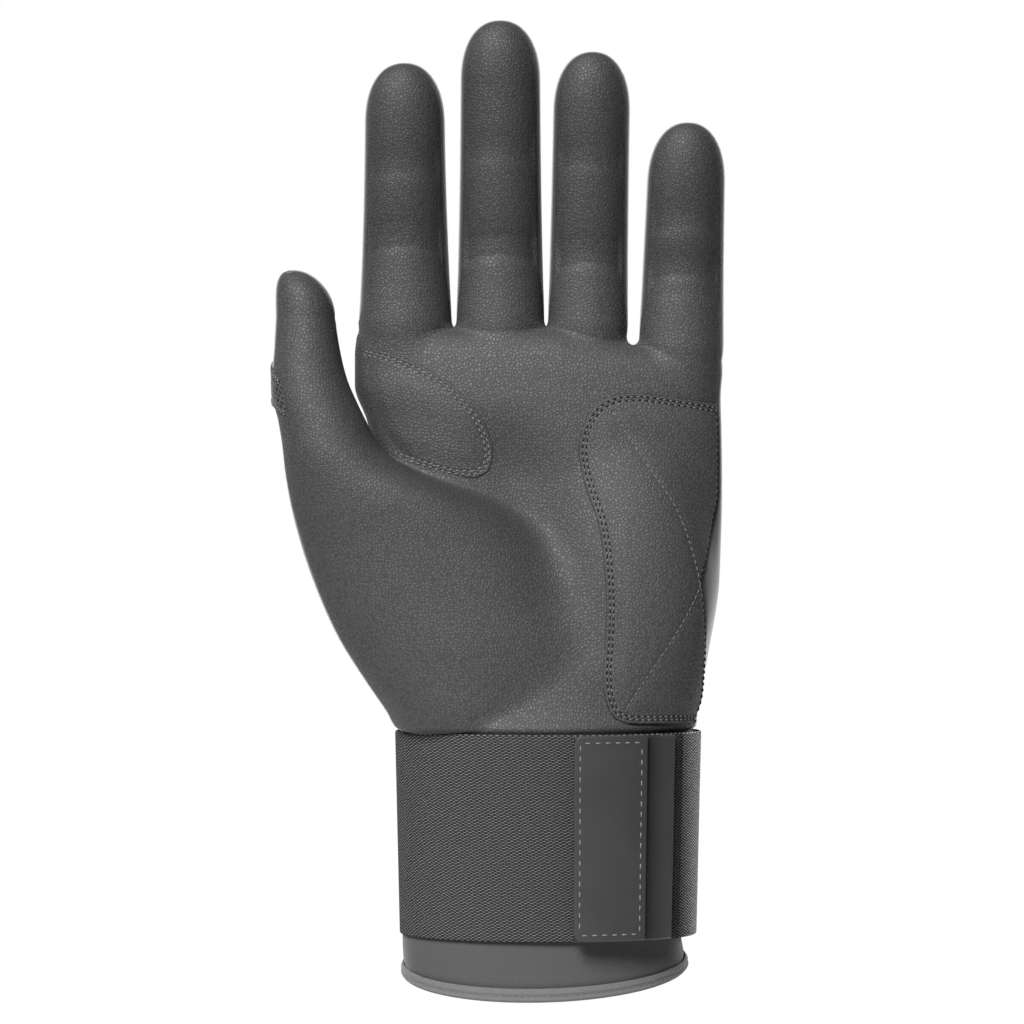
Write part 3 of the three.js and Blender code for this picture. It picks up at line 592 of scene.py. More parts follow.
def back_relief(name, points):
    """Flex ribs over the knuckles and middle joints, grooves along the back's seams, and its raised panel."""
    up, x = points[..., 2], points[..., 0]
    relief = np.zeros(up.shape)
    if name != "thumb":
        axis = finger_axis(name, up)
        half = RIB_WIDTH * FINGERS[name].base_half
        for height in (FINGERS[name].joint, KNUCKLES[name]):
            relief += ribs(up - height, x - axis, half)
    fade = smooth_step((PANEL_TOP - up) / PANEL_FADE)
    left, right = x - back_seam_left(up), back_seam_right(up) - x
    below = back_cross_seam(x) - up
    inside = smooth_step(left / PANEL_EDGE) * smooth_step(right / PANEL_EDGE)
    relief += PANEL_RISE * inside * smooth_step(below / PANEL_EDGE) * fade
    grooves = [bell(gap, SEAM_GROOVE_WIDTH) for gap in (left, right, below)]
    return relief - SEAM_GROOVE * (grooves[0] + grooves[1] + grooves[2] * inside) * fade


def seam_relief(distance, up):
    """A turned seam: the edge rolls in, swells just beside it, and puckers a little along its length."""
    pucker = 1 + SEAM_PUCKER * np.sin(up * 2.1) * np.sin(up * 0.63 + 1)
    return (SEAM_SWELL * bell(distance - 1.4, 0.9) - SEAM_DIP * bell(distance, 0.45)) * pucker


def finish_skin(name, grid, face):
    """Move a skin out along its normal by its relief, with nothing but the seam's own relief at the seam."""
    normals = glove_normal(grid)
    distance = seam_distance(name, grid, normals)
    own_relief = front_relief if face == "front" else back_relief
    relief = seam_relief(distance, grid[..., 2]) + own_relief(name, grid) * smooth_step(distance / SEAM_CLEAR)
    return grid + normals * relief[..., None]


# Meshes


def world(points):
    """Hand millimetres to metres in the row frame."""
    return (points + np.array([0, 0, WRIST_LINE])) * MM


def grid_faces(rows, columns, wrap_rows=False, wrap_columns=False):
    """Quads of a grid numbered row by row."""
    j = np.arange(rows if wrap_rows else rows - 1)
    k = np.arange(columns if wrap_columns else columns - 1)
    j, k = np.meshgrid(j, k, indexing="ij")
    j2, k2 = (j + 1) % rows, (k + 1) % columns
    quads = np.stack([j * columns + k, j * columns + k2, j2 * columns + k2, j2 * columns + k], axis=-1)
    return quads.reshape(-1, 4)


def make_object(name, vertices, faces, material, uv=None, inner=None):
    """Object from vertices and quads: equal points become one, quads with two equal corners triangles.

    With inner, a second set of points behind the first, the skin becomes a closed wall: the inner side is
    the same faces turned round, and each edge that only one face uses gets a flat quad to the inner side.
    """
    vertices = np.asarray(vertices, float).reshape(-1, 3)
    keys = np.round(vertices * 1e6).astype(np.int64)
    _, first, number = np.unique(keys, axis=0, return_index=True, return_inverse=True)
    merged = number.reshape(-1)[faces]
    repeated = merged == np.roll(merged, 1, axis=1)
    quads = merged[repeated.sum(axis=1) == 0]
    narrow = repeated.sum(axis=1) == 1
    triangles = merged[narrow][~repeated[narrow]].reshape(-1, 3)
    points = vertices[first]
    count = len(points)
    flat_from = flat_to = 0
    if inner is not None:
        points = np.concatenate([points, np.asarray(inner, float).reshape(-1, 3)[first]])
        edges = np.concatenate(
            [np.stack([quads[:, i], quads[:, (i + 1) % 4]], axis=1) for i in range(4)]
            + [np.stack([triangles[:, i], triangles[:, (i + 1) % 3]], axis=1) for i in range(3)]
        )
        _, place, uses = np.unique(np.sort(edges, axis=1), axis=0, return_index=True, return_counts=True)
        a, b = edges[place[uses == 1]].T
        rim = np.stack([b, a, a + count, b + count], axis=1)
        flat_from = 2 * len(quads)
        flat_to = flat_from + len(rim)
        quads = np.concatenate([quads, quads[:, ::-1] + count, rim])
        triangles = np.concatenate([triangles, triangles[:, ::-1] + count])
    mesh = bpy.data.meshes.new(name)
    mesh.from_pydata(points.tolist(), [], quads.tolist() + triangles.tolist())
    if uv is not None:
        flat = np.asarray(uv, float).reshape(-1, 2)
        corners = np.concatenate([quads.ravel(), triangles.ravel()]) % count
        layer = mesh.uv_layers.new(name="UVMap")
        layer.data.foreach_set("uv", flat[first][corners].astype(np.float32).ravel())
    smooth = np.ones(len(mesh.polygons), bool)
    smooth[flat_from:flat_to] = False
    mesh.polygons.foreach_set("use_smooth", smooth)
    mesh.materials.append(material)
    mesh.update()
    thing = bpy.data.objects.new(name, mesh)
    bpy.context.scene.collection.objects.link(thing)
    return thing


def join_grids(grids):
    """Several grids as one set of vertices and quads."""
    vertices, faces, start = [], [], 0
    for grid in grids:
        rows, columns = grid.shape[:2]
        vertices.append(grid.reshape(-1, 3))
        faces.append(grid_faces(rows, columns) + start)
        start += rows * columns
    return np.concatenate(vertices), np.concatenate(faces)


# Materials


def add_node(tree, kind, inputs, **settings):
    """Shader node: its settings are made first, then each input is joined to a socket or set to a value."""
    node = tree.nodes.new("ShaderNode" + kind)
    for label, value in settings.items():
        setattr(node, label, value)
    for label, value in inputs.items():
        if hasattr(value, "is_output"):
            tree.links.new(value, node.inputs[label])
        else:
            node.inputs[label].default_value = value
    return node


def add_math(tree, operation, *values, clamp=False):
    """Math node on sockets or plain numbers; returns its output."""
    inputs = dict(enumerate(values))
    return add_node(tree, "Math", inputs, operation=operation, use_clamp=clamp).outputs[0]


def add_noise(tree, vector, scale, detail=2.0, roughness=0.5):
    """Noise texture on a vector; returns its value."""
    inputs = {"Vector": vector, "Scale": scale, "Detail": detail, "Roughness": roughness}
    return add_node(tree, "TexNoise", inputs).outputs["Fac"]


def add_range(tree, value, low, high, first=0.0, last=1.0, kind="SMOOTHSTEP"):
    """What lies between low and high mapped to between first and last; returns its output."""
    inputs = {"Value": value, "From Min": low, "From Max": high, "To Min": first, "To Max": last}
    return add_node(tree, "MapRange", inputs, interpolation_type=kind).outputs["Result"]


def add_split(tree, vector):
    """The x, y and z of a vector."""
    return add_node(tree, "SeparateXYZ", {0: vector}).outputs


def node_group(name, outputs, build, **numbers):
    """Shader group of a vector and named numbers; build makes its outputs, in order, from their sockets."""
    group = bpy.data.node_groups.new(name, "ShaderNodeTree")
    group.interface.new_socket(name="Vector", in_out="INPUT", socket_type="NodeSocketVector")
    for label, default in numbers.items():
        socket = group.interface.new_socket(name=label, in_out="INPUT", socket_type="NodeSocketFloat")
        socket.default_value = default
    for label in outputs:
        group.interface.new_socket(name=label, in_out="OUTPUT", socket_type="NodeSocketFloat")
    source = group.nodes.new("NodeGroupInput").outputs
    sink = group.nodes.new("NodeGroupOutput").inputs
    for label, socket in zip(outputs, build(group, source)):
        group.links.new(socket, sink[label])
    return group


def leather_grain(tree, source):
    """Pebbled leather: rounded cells with narrow valleys, over pores and slow swells in the hide."""
    vector = source["Vector"]
    warp = add_node(tree, "TexNoise", {"Vector": vector, "Scale": 420.0, "Detail": 1.0}).outputs["Color"]
    shift = add_node(tree, "VectorMath", {0: warp, 1: (0.0012,) * 3, 2: vector}, operation="MULTIPLY_ADD")
    cells = {"Vector": shift.outputs[0], "Scale": source["Cell"], "Randomness": 0.85}
    edge = add_node(tree, "TexVoronoi", cells, feature="DISTANCE_TO_EDGE").outputs["Distance"]
    swell = add_range(tree, edge, 0.0, 0.28)
    height = add_math(tree, "MULTIPLY_ADD", add_noise(tree, vector, 2600.0), 0.25, swell)
    valley = add_math(tree, "SUBTRACT", 1.0, swell)
    return height, valley, add_noise(tree, vector, 55.0, 3.0)


def webbing(tree, source):
    """Elastic on a map in millimetres: short raised dashes in rows, each row shifted by part of a dash."""
    vector = source["Vector"]
    place = add_split(tree, vector)
    wobble = add_math(tree, "MULTIPLY_ADD", add_noise(tree, vector, 0.7), 0.26, -0.13)
    row_place = add_math(tree, "DIVIDE", add_math(tree, "ADD", place["Y"], wobble), source["Row"])
    along = add_math(tree, "DIVIDE", add_math(tree, "ADD", place["X"], wobble), source["Dash"])
    along = add_math(tree, "MULTIPLY_ADD", add_math(tree, "FLOOR", row_place), source["Shift"], along)
    raised = []
    for value, power in ((along, 1.5), (row_place, 1.3)):
        wave = add_math(tree, "SINE", add_math(tree, "MULTIPLY", add_math(tree, "FRACT", value), np.pi))
        raised.append(add_math(tree, "POWER", add_math(tree, "MAXIMUM", wave, 0.0), power))
    thread = add_math(tree, "MULTIPLY", *raised)
    fuzz = add_noise(tree, vector, 6.0, 3.0, 0.6)
    return add_math(tree, "MULTIPLY_ADD", fuzz, 0.2, thread), thread, fuzz


def stretch_knit(tree, source):
    """Fine knit on Object coordinates: crossed ripples in x and height, with slow patches."""
    vector = source["Vector"]
    place = add_split(tree, vector)
    turn = add_math(tree, "DIVIDE", 2 * np.pi, source["Pitch"])
    sideways = add_math(tree, "MULTIPLY_ADD", place["Y"], 0.9, place["X"])
    angles = [add_math(tree, "MULTIPLY", way, turn) for way in (sideways, place["Z"])]
    crossed = add_math(tree, "MULTIPLY", *[add_math(tree, "SINE", angle) for angle in angles])
    height = add_math(tree, "MULTIPLY_ADD", crossed, 0.5, add_noise(tree, vector, 1800.0))
    return height, add_noise(tree, vector, 60.0, 3.0)


def air_mesh(tree, source):
    """Mesh on a map in millimetres: rows of round holes, every other row shifted by half a hole."""
    place = add_split(tree, source["Vector"])
    row_place = add_math(tree, "DIVIDE", place["Y"], source["Pitch"])
    odd = add_math(tree, "MODULO", add_math(tree, "FLOOR", row_place), 2.0)
    column = add_math(tree, "MULTIPLY_ADD", odd, 0.5, add_math(tree, "DIVIDE", place["X"], source["Pitch"]))
    squares = []
    for value in (column, row_place):
        aside = add_math(tree, "SUBTRACT", add_math(tree, "FRACT", value), 0.5)
        squares.append(add_math(tree, "MULTIPLY", aside, aside))
    radius = add_math(tree, "SQRT", add_math(tree, "ADD", *squares))
    hole = add_math(tree, "MULTIPLY_ADD", radius, -9.0, 3.2, clamp=True)
    return hole, add_math(tree, "SUBTRACT", 1.0, hole)


LEATHER_GRAIN = node_group("leather_grain", ("Height", "Valley", "Patchiness"), leather_grain, Cell=1080.0)
WEBBING = node_group("webbing", ("Height", "Thread", "Fuzz"), webbing, Dash=1.7, Row=0.41, Shift=0.46)
KNIT = node_group("stretch_knit", ("Height", "Patchiness"), stretch_knit, Pitch=0.0007)
AIR_MESH = node_group("air_mesh", ("Hole", "Height"), air_mesh, Pitch=1.5)


def grey(shade):
    """A neutral grey with the least touch of blue, as linear colour."""
    return (shade, shade, shade * 1.03, 1.0)


class Finish:
    """A material with its Principled shader, and short ways to place groups and mix colours in it."""

    def __init__(self, name, shade, roughness, specular=0.5, sheen=0.0):
        self.material = bpy.data.materials.new(name)
        self.material.use_nodes = True
        self.tree = self.material.node_tree
        self.shader = self.tree.nodes["Principled BSDF"].inputs
        self.shader["Base Color"].default_value = grey(shade)
        self.shader["Roughness"].default_value = roughness
        self.shader["Specular IOR Level"].default_value = specular
        self.shader["Sheen Weight"].default_value = sheen
        self.shader["Sheen Roughness"].default_value = 0.4
        self.coordinates = self.tree.nodes.new("ShaderNodeTexCoord").outputs

    def place(self, group, coordinate="Object", **values):
        """A shared group on this material's coordinates; returns its outputs."""
        inputs = {"Vector": self.coordinates[coordinate], **values}
        return add_node(self.tree, "Group", inputs, node_tree=group).outputs

    def ramp(self, value, *stops):
        """Greys picked by a value, from stops of position and shade."""
        node = add_node(self.tree, "ValToRGB", {"Fac": value})
        elements = node.color_ramp.elements
        for element, (position, shade) in zip(elements, (stops[0], stops[-1])):
            element.position = position
            element.color = grey(shade)
        for position, shade in stops[1:-1]:
            elements.new(position).color = grey(shade)
        return node.outputs["Color"]

    def painted_rim_light(self, color, amount):
        """Painted rim light: the colour mixed with a pale grey where the surface turns away from the eye."""
        facing = add_node(self.tree, "LayerWeight", {"Blend": 0.5}).outputs["Facing"]
        share = add_range(self.tree, facing, 0.5, 1.0, 0.0, amount)
        inputs = {"Factor": share, "A": color, "B": grey(0.45)}
        return add_node(self.tree, "Mix", inputs, data_type="RGBA").outputs["Result"]

    def painted_light_along(self, color, axis, low, high, first, last):
        """Painted light or shade: the colour times a factor that runs from first to last between two places
        on an axis, in metres.
        """
        place = add_split(self.tree, self.coordinates["Object"])[axis]
        inputs = {0: color, "Scale": add_range(self.tree, place, low, high, first, last)}
        return add_node(self.tree, "VectorMath", inputs, operation="SCALE").outputs[0]

    def dressed(self, color, wear, low, high, height, distance, strength):
        """The material with a colour, a roughness from low to high as wear goes from 0 to 1, and a bump."""
        rough = add_range(self.tree, wear, 0.0, 1.0, low, high, "LINEAR")
        bump = add_node(self.tree, "Bump", {"Height": height, "Distance": distance, "Strength": strength})
        sockets = {"Base Color": color, "Roughness": rough, "Normal": bump.outputs["Normal"]}
        for label, socket in sockets.items():
            self.tree.links.new(socket, self.shader[label])
        return self.material


# Painted shade on the fingers: between these heights in metres the leather's colour falls to this share
FINGER_SHADE_FROM, FINGER_SHADE_TO, FINGER_SHADE_TONE = 0.176, 0.198, 0.75


def leather_finish(name, shade):
    """Matt pebbled leather: valleys rougher than the worn tops and darkened by painted shade, and painted
    shade on the fingers.
    """
    finish = Finish(name, shade, 0.62, 0.55)
    grain = finish.place(LEATHER_GRAIN)
    # Random patches of tone, and painted shade that darkens the grain's valleys
    mix = add_math(finish.tree, "MULTIPLY_ADD", grain["Patchiness"], 0.5, grain["Valley"])
    hide = finish.ramp(mix, (0.2, shade * 1.04), (0.6, shade), (1.0, shade * 0.6))
    # painted shade: the fingers darken upwards
    color = finish.painted_light_along(hide, "Z", FINGER_SHADE_FROM, FINGER_SHADE_TO, 1.0, FINGER_SHADE_TONE)
    return finish.dressed(color, grain["Valley"], 0.56, 0.68, grain["Height"], 0.0001, 0.8)


def fabric_finish(name, shade, pitch=0.0007, sheen=0.15, edge=0.0):
    """Stretch knit with a soft sheen, and by edge a painted rim light that pales it where it is seen along
    the surface.
    """
    finish = Finish(name, shade, 0.85, 0.2, sheen)
    knit = finish.place(KNIT, Pitch=pitch)
    loops = finish.ramp(knit["Height"], (0.1, shade * 0.85), (0.55, shade), (1.0, shade * 1.18))
    # painted rim light, as strong as edge
    color = finish.painted_rim_light(loops, edge)
    return finish.dressed(color, knit["Patchiness"], 0.75, 0.95, knit["Height"], 0.00006, 0.6)


def elastic_finish(name, shade, across=None):
    """Woven elastic: pale dashes of yarn over a dark ground, and with across a painted light that brightens
    it along x.
    """
    finish = Finish(name, shade, 0.85, 0.0)
    web = finish.place(WEBBING, "UV")
    tone = add_math(finish.tree, "MULTIPLY_ADD", web["Fuzz"], 0.45, web["Thread"])
    color = finish.ramp(tone, (0.2, shade * 0.25), (0.55, shade), (1.0, shade * 3.6))
    # across paints light or shade along x
    if across:
        color = finish.painted_light_along(color, "X", *across)
    return finish.dressed(color, web["Thread"], 0.9, 0.65, web["Height"], 0.0003, 0.9)


def moulded_finish(name, shade, roughness, speckle=900.0, relief=0.00004, gloss=0.5, across=None):
    """Smooth rubber with a fine matt bloom and faint handling marks, and with across a painted light and
    shade along x.
    """
    finish = Finish(name, shade, roughness, gloss)
    bloom = add_noise(finish.tree, finish.coordinates["Object"], speckle, 4.0, 0.6)
    cloud = add_noise(finish.tree, finish.coordinates["Object"], 70.0, 4.0)
    color = finish.ramp(cloud, (0.3, shade * 0.95), (0.7, shade * 1.05))
    # across paints light or shade along x
    if across:
        color = finish.painted_light_along(color, "X", *across)
    return finish.dressed(color, cloud, roughness - 0.07, roughness + 0.09, bloom, relief, 0.5)


def vent_finish(name):
    """Knit with rows of air holes, the holes painted near black as the shade inside them."""
    finish = Finish(name, 0.03, 0.85, 0.3, 0.2)
    mesh = finish.place(AIR_MESH, "UV")
    # painted shade in the holes
    color = finish.ramp(mesh["Hole"], (0.0, 0.055), (1.0, 0.006))
    return finish.dressed(color, mesh["Hole"], 0.8, 0.95, mesh["Height"], 0.0005, 0.9)


PALM_LEATHER = leather_finish("palm_leather", 0.055)
PAD_LEATHER = leather_finish("pad_leather", 0.056)
# edge=1.0: the back fabric gets the painted rim light in full
BACK_FABRIC = fabric_finish("back_fabric", 0.045, sheen=0.3, edge=1.0)
# Painted light: the strap grows up to 3.2 times brighter towards its little-finger side, as if lit there
STRAP_ELASTIC = elastic_finish("strap_elastic", 0.053, across=(0.036, 0.041, 1.0, 3.2))
# Painted shade: the strap's end is a darker copy of its elastic, for the shadow beside the tab's carrier
SHADED_STRAP_END = elastic_finish("painted_shade_strap_end", 0.035)
SLEEVE_KNIT = fabric_finish("sleeve_jersey", 0.076, 0.0005)
BINDING_TAPE = fabric_finish("binding_tape", 0.14, 0.0006)
TAB_RUBBER = moulded_finish("tab_rubber", 0.037, 0.55)
# Painted shade beside the tab and painted light towards the carrier's far edge
CARRIER_RUBBER = moulded_finish("carrier_rubber", 0.034, 0.42, across=(0.027, 0.034, 0.6, 1.5))
HOOK_TAPE = moulded_finish("hook_tape", 0.02, 0.7, 1400.0, 0.0004)
THREAD = moulded_finish("sewing_thread", 0.14, 0.7, 2500.0, 0.0001)
LIGHT_THREAD = moulded_finish("light_thread", 0.2, 0.7, 2500.0, 0.0001)
# Dark thread on the side seam, and painted shade for the heel pad's needle holes
DARK_STITCHES_AND_HOLE_SHADE = moulded_finish("dark_stitches_and_hole_shade", 0.015, 0.85, 2500.0, 0.0001, 0.1)
VENT_MESH = vent_finish("vent_mesh")


# Skins of the hand and fingers

SKIN_COUNT = {"front": 40, "back": 44}
SKIN_LOOKS = {
    "front": ("leather", PALM_LEATHER, "palm_leather"),
    "back": ("fabric", BACK_FABRIC, "back_fabric"),
}
WEB_STEPS = np.array([0.0, 0.03, 0.12, 0.3, 0.6, 1.0])
TIP_MARGIN = 0.002
ROW_STEP = 0.7


def base_height(name):
    """Height at which a column leaves the hand."""
    return THUMB_BASE if name == "thumb" else FINGERS[name].base


hand_rows = [np.linspace(-1.5, 112.8, 164)]
hand_rows += [[base_height(name) - EDGE_HOLD, base_height(name)] for name in COLUMNS]
hand_rows += [up + sign * WEB_STEPS for up, _ in crotches for sign in (-1, 1)]
hand_rows = np.unique(np.round(np.concatenate(hand_rows), 4))


def attach(thing, slot, body, *nodes):
    """Hide the nodes a piece stands for and put it on the body it rides on; slot is not used."""
    if nodes:
        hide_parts(*nodes)
    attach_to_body(thing, body)


def oriented(faces, vertices, normals):
    """The quads turned so that on the whole they face along the normals at their corners."""
    vertices, normals = vertices.reshape(-1, 3), normals.reshape(-1, 3)
    a, b, c = (vertices[faces[:, i]] for i in (0, 1, 3))
    facing = np.sum(np.cross(b - a, c - a) * normals[faces[:, 0]])
    return faces if facing > 0 else faces[:, ::-1]


def skin_object(name, face, rows_of):
    """One panel over some columns, each with its own rows, with its wall on the inside."""
    count = SKIN_COUNT[face]
    plain = {column: column_skin(column, rows, face, count) for column, rows in rows_of.items()}
    vertices, faces = join_grids([finish_skin(column, grid, face) for column, grid in plain.items()])
    normals = glove_normal(vertices)
    faces = oriented(faces, vertices, normals)
    inner = world(vertices - SKIN_WALL * normals)
    return make_object(name, world(vertices), faces, SKIN_LOOKS[face][1], inner=inner)


def dome_rows(column, start, tip, count):
    """Heights over a domed tip, closer together upwards: to the palm-side panel's end, then to the top."""
    end = front_ends[column]
    closing = start + (end - start) * np.sin(np.linspace(0, np.pi / 2, count))[1:]
    crown = end + (tip - TIP_MARGIN - end) * np.sin(np.linspace(0, np.pi / 2, 9))[1:]
    return closing, crown


for panel, panel_face in (("palm", "front"), ("back", "back")):
    cloth, _, panel_slot = SKIN_LOOKS[panel_face]
    panel_rows = {name: hand_rows[hand_rows <= base_height(name) + 1e-6] for name in COLUMNS}
    hand_skin = skin_object(f"{panel}_{cloth}_skin", panel_face, panel_rows)
    attach(hand_skin, panel_slot, "hand", f"{panel}_panel")


def make_finger(name):
    """Four skins: lower and upper length, palm side and back."""
    finger = FINGERS[name]
    half_crease = MIDDLE_CREASE / 2
    split = (finger.base + finger.crease + finger.joint - half_crease) / 2 + SEAM_GAP
    dome_start = finger.tip - FINGER_DOME
    lower = held(np.linspace(finger.base, split, int((split - finger.base) / ROW_STEP) + 2), EDGE_HOLD)
    upper = held(np.linspace(split, dome_start, int((dome_start - split) / ROW_STEP) + 2), EDGE_HOLD)
    closing, crown = dome_rows(name, dome_start, finger.tip, 26)
    for face, (cloth, _, slot) in SKIN_LOOKS.items():
        end_rows = [closing] if face == "front" else [closing, crown]
        for part, rows in (("base", lower), ("tip", np.concatenate([upper, *end_rows]))):
            thing = skin_object(f"{name}_{part}_{cloth}", face, {name: rows})
            crease = f"{name}_base_crease" if part == "base" else f"{name}_middle_crease"
            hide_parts(f"{name}_{part}_{face}", *([crease] if face == "front" else []))
            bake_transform(thing)


for finger_name in FINGERS:
    make_finger(finger_name)


# Thumb


def attach_thumb(thing, slot, *nodes):
    """Hide the nodes a piece of the thumb stands for and bake its place into its mesh; slot is not used."""
    if nodes:
        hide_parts(*nodes)
    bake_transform(thing)


thumb_straight = held(np.linspace(THUMB_BASE, THUMB_TIP - THUMB_DOME, 44), EDGE_HOLD)
thumb_closing, thumb_crown = dome_rows("thumb", THUMB_TIP - THUMB_DOME, THUMB_TIP, 24)
thumb_rows = np.concatenate([thumb_straight, thumb_closing])
thumb_leather = skin_object("thumb_leather", "front", {"thumb": thumb_rows})
attach_thumb(thumb_leather, "palm_leather", "thumb_front", "thumb_crease")
thumb_fabric = skin_object("thumb_fabric", "back", {"thumb": np.concatenate([thumb_rows, thumb_crown])})
attach_thumb(thumb_fabric, "back_fabric", "thumb_back")


# Overlays on the palm


def run_length(points):
    """Length along a path up to each of its points."""
    return np.concatenate([[0], np.cumsum(np.linalg.norm(np.diff(points, axis=0), axis=1))])


def along_path(places, run, values):
    """Values given at the points of a path, read off at places along it."""
    return np.stack([np.interp(places, run, values[:, k]) for k in range(values.shape[1])], axis=1)


def unit(vectors):
    """The vectors at length 1."""
    return vectors / np.linalg.norm(vectors, axis=-1, keepdims=True)


def spline(points, spacing):
    """Evenly spaced points on a cubic through the given ones: slopes are central differences over chords."""
    points = np.asarray(points, float)
    t = run_length(points)
    slope = np.gradient(points, t, axis=0)
    dense = np.linspace(0, t[-1], 2000)
    i = np.clip(np.searchsorted(t, dense, side="right") - 1, 0, len(t) - 2)
    step = (t[i + 1] - t[i])[:, None]
    u = (dense - t[i])[:, None] / step
    rise = points[i] * (1 + 2 * u) * (1 - u) ** 2 + points[i + 1] * u * u * (3 - 2 * u)
    line = rise + step * (slope[i] * u * (1 - u) ** 2 - slope[i + 1] * u * u * (1 - u))
    run = run_length(line)
    places = np.linspace(0, run[-1], max(2, int(round(run[-1] / spacing)) + 1))
    return along_path(places, run, line)


def path_distance(x, up, path):
    """Distance in the palm's plane from each point to the nearest of a path's points."""
    flat = np.stack([x.ravel(), up.ravel()], axis=1)
    result = np.full(len(flat), 1e9)
    for part in np.array_split(np.asarray(path), max(1, len(path) // 100)):
        gap = np.linalg.norm(flat[:, None, :] - part[None, :, :], axis=2)
        result = np.minimum(result, gap.min(axis=1))
    return result.reshape(x.shape)


def ease(count, power=1.5):
    """Shares from 0 to 1 that lie closer together towards both ends."""
    t = np.linspace(0, 1, count)
    return t**power / (t**power + (1 - t) ** power)


little_seam_up = np.linspace(0, 100, 101)
little_seam_x = column_edges("little", 1, little_seam_up)[0][:, 0]
index_side_up = np.linspace(crotches[0][0], 112, 120)
side_y = np.linspace(-9, 9, 19)
side_start = column_centre("index", index_side_up)[0]
index_side = march_out(side_start[:, None], side_y[None, :], np.pi, index_side_up[:, None], 22.0)
index_side_x = index_side[..., 0].min(axis=1)

# Heel pad: outline from its lower corner on the left, up and round to the little-finger side
PATH_STEP = 0.25
HEEL_LEFT = (
    (25.5, 2.4), (21.5, 2.8), (18.2, 4.6), (16.3, 8.6), (15.4, 15.0), (16.0, 24.3), (16.4, 33.6),
    (16.0, 43.0), (15.1, 52.3), (13.8, 58.5), (11.6, 64.7), (9.8, 70.9), (9.0, 77.1), (9.5, 81.0),
    (11.1, 85.4), (13.9, 89.2), (18.1, 91.6), (22.5, 92.4), (26.5, 92.5),
)
HEEL_BOTTOM, HEEL_TOP = HEEL_LEFT[0][1], HEEL_LEFT[-1][1]
HEEL_TOP_RIGHT = (50.0, 89.3)
heel_left_path = spline(HEEL_LEFT, PATH_STEP)
heel_top_path = np.linspace(HEEL_LEFT[-1], HEEL_TOP_RIGHT, 90)
heel_bottom_path = np.linspace((52.0, HEEL_BOTTOM), HEEL_LEFT[0], 110)
heel_outline = np.concatenate([heel_bottom_path, heel_left_path, heel_top_path])
QUILT_LINES = (
    spline([(18.2, 87.2), (28.1, 71.4), (34.9, 60.9), (39.5, 48.1), (41.4, 40.1), (43.2, 30.4)], PATH_STEP),
    spline([(21.6, 6.8), (41.4, 40.1), (43.8, 47.3)], PATH_STEP),
)
STITCH_ROWS = (1.15, 2.1)
OVERLAY_EDGE = 0.8
OVERLAY_LIFT = 0.06
OVERLAY_SEAM_RUN = 2.4
OVERLAY_BACK = 0.5
EDGE_SINK, EDGE_SINK_RUN = 0.25, 0.25
STITCH_GROOVE, STITCH_GROOVE_WIDTH = 0.22, 0.32
FILLING, FILLING_FROM, FILLING_RUN = 0.35, 2.4, 5.0
THREAD_LIFT = 0.08


def edge_height(distance, wall):
    """How far an overlay stands off the palm at a distance from its edge: a quarter round, then sewn rows."""
    t = np.clip(distance / OVERLAY_EDGE, 0, 1)
    height = wall * np.sqrt(1 - (1 - t) ** 2) - EDGE_SINK * (1 - smooth_step(distance / EDGE_SINK_RUN))
    for row in STITCH_ROWS:
        height = height - STITCH_GROOVE * bell(distance - row, STITCH_GROOVE_WIDTH)
    return height + FILLING * smooth_step((distance - FILLING_FROM) / FILLING_RUN)


def heel_height(x, up):
    """Height of the heel pad over the palm: its edge and the grooves of its crossed quilting."""
    height = edge_height(path_distance(x, up, heel_outline), PATCH_WALL)
    for line in QUILT_LINES:
        gap = path_distance(x, up, line)
        height = height - 0.14 * bell(gap, 0.5) - 0.07 * bell(gap, 2.0)
    return height


# Patch between thumb and index finger: lower edge, then upper edge from its rounded end to the hand's side
CROTCH_END = (-19.4, 69.0)
CROTCH_TOP = (-53.0, 106.2)
CROTCH_LOWER = ((-47.2, 77.2), (-41.6, 74.4), (-33.0, 71.6), (-25.2, 69.4), CROTCH_END)
CROTCH_UPPER = (
    CROTCH_END, (-15.6, 71.2), (-14.3, 75.0), (-16.0, 83.2), (-24.8, 94.2), (-40.0, 102.6), CROTCH_TOP,
)
CROTCH_SUNK = 0.4
crotch_lower_path = spline(CROTCH_LOWER, PATH_STEP)
crotch_upper_path = spline(CROTCH_UPPER, PATH_STEP)
crotch_outline = np.concatenate([crotch_lower_path, crotch_upper_path])


def crotch_side(up):
    """Left edge of the patch: its lower outline, kept clear of the thumb and of the hand's side above."""
    below = np.interp(-up, -crotch_lower_path[:, 1], crotch_lower_path[:, 0])
    above = np.interp(up, index_side_up, index_side_x) + 1.2
    side = np.where(up < crotches[0][0], np.maximum(below, above), above)
    return np.where(up < THUMB_BASE, np.maximum(side, thumb_right(up) + 1.0), side)


def crotch_height(x, up):
    """Height of the patch between thumb and index finger: it sinks under the palm towards the web."""
    flush = smooth_step((x - crotch_side(up)) / 7)
    height = edge_height(path_distance(x, up, crotch_outline), CROTCH_WALL)
    return (height + CROTCH_SUNK) * flush - CROTCH_SUNK


def overlay_lift(column, base, normals, height):
    """Height of an overlay over the palm: its own, run down to the seam's relief where it meets the seam."""
    distance = seam_distance(column, base, normals)
    fade = smooth_step(distance / OVERLAY_SEAM_RUN)
    return height * fade + seam_relief(distance, base[..., 2]) + OVERLAY_LIFT


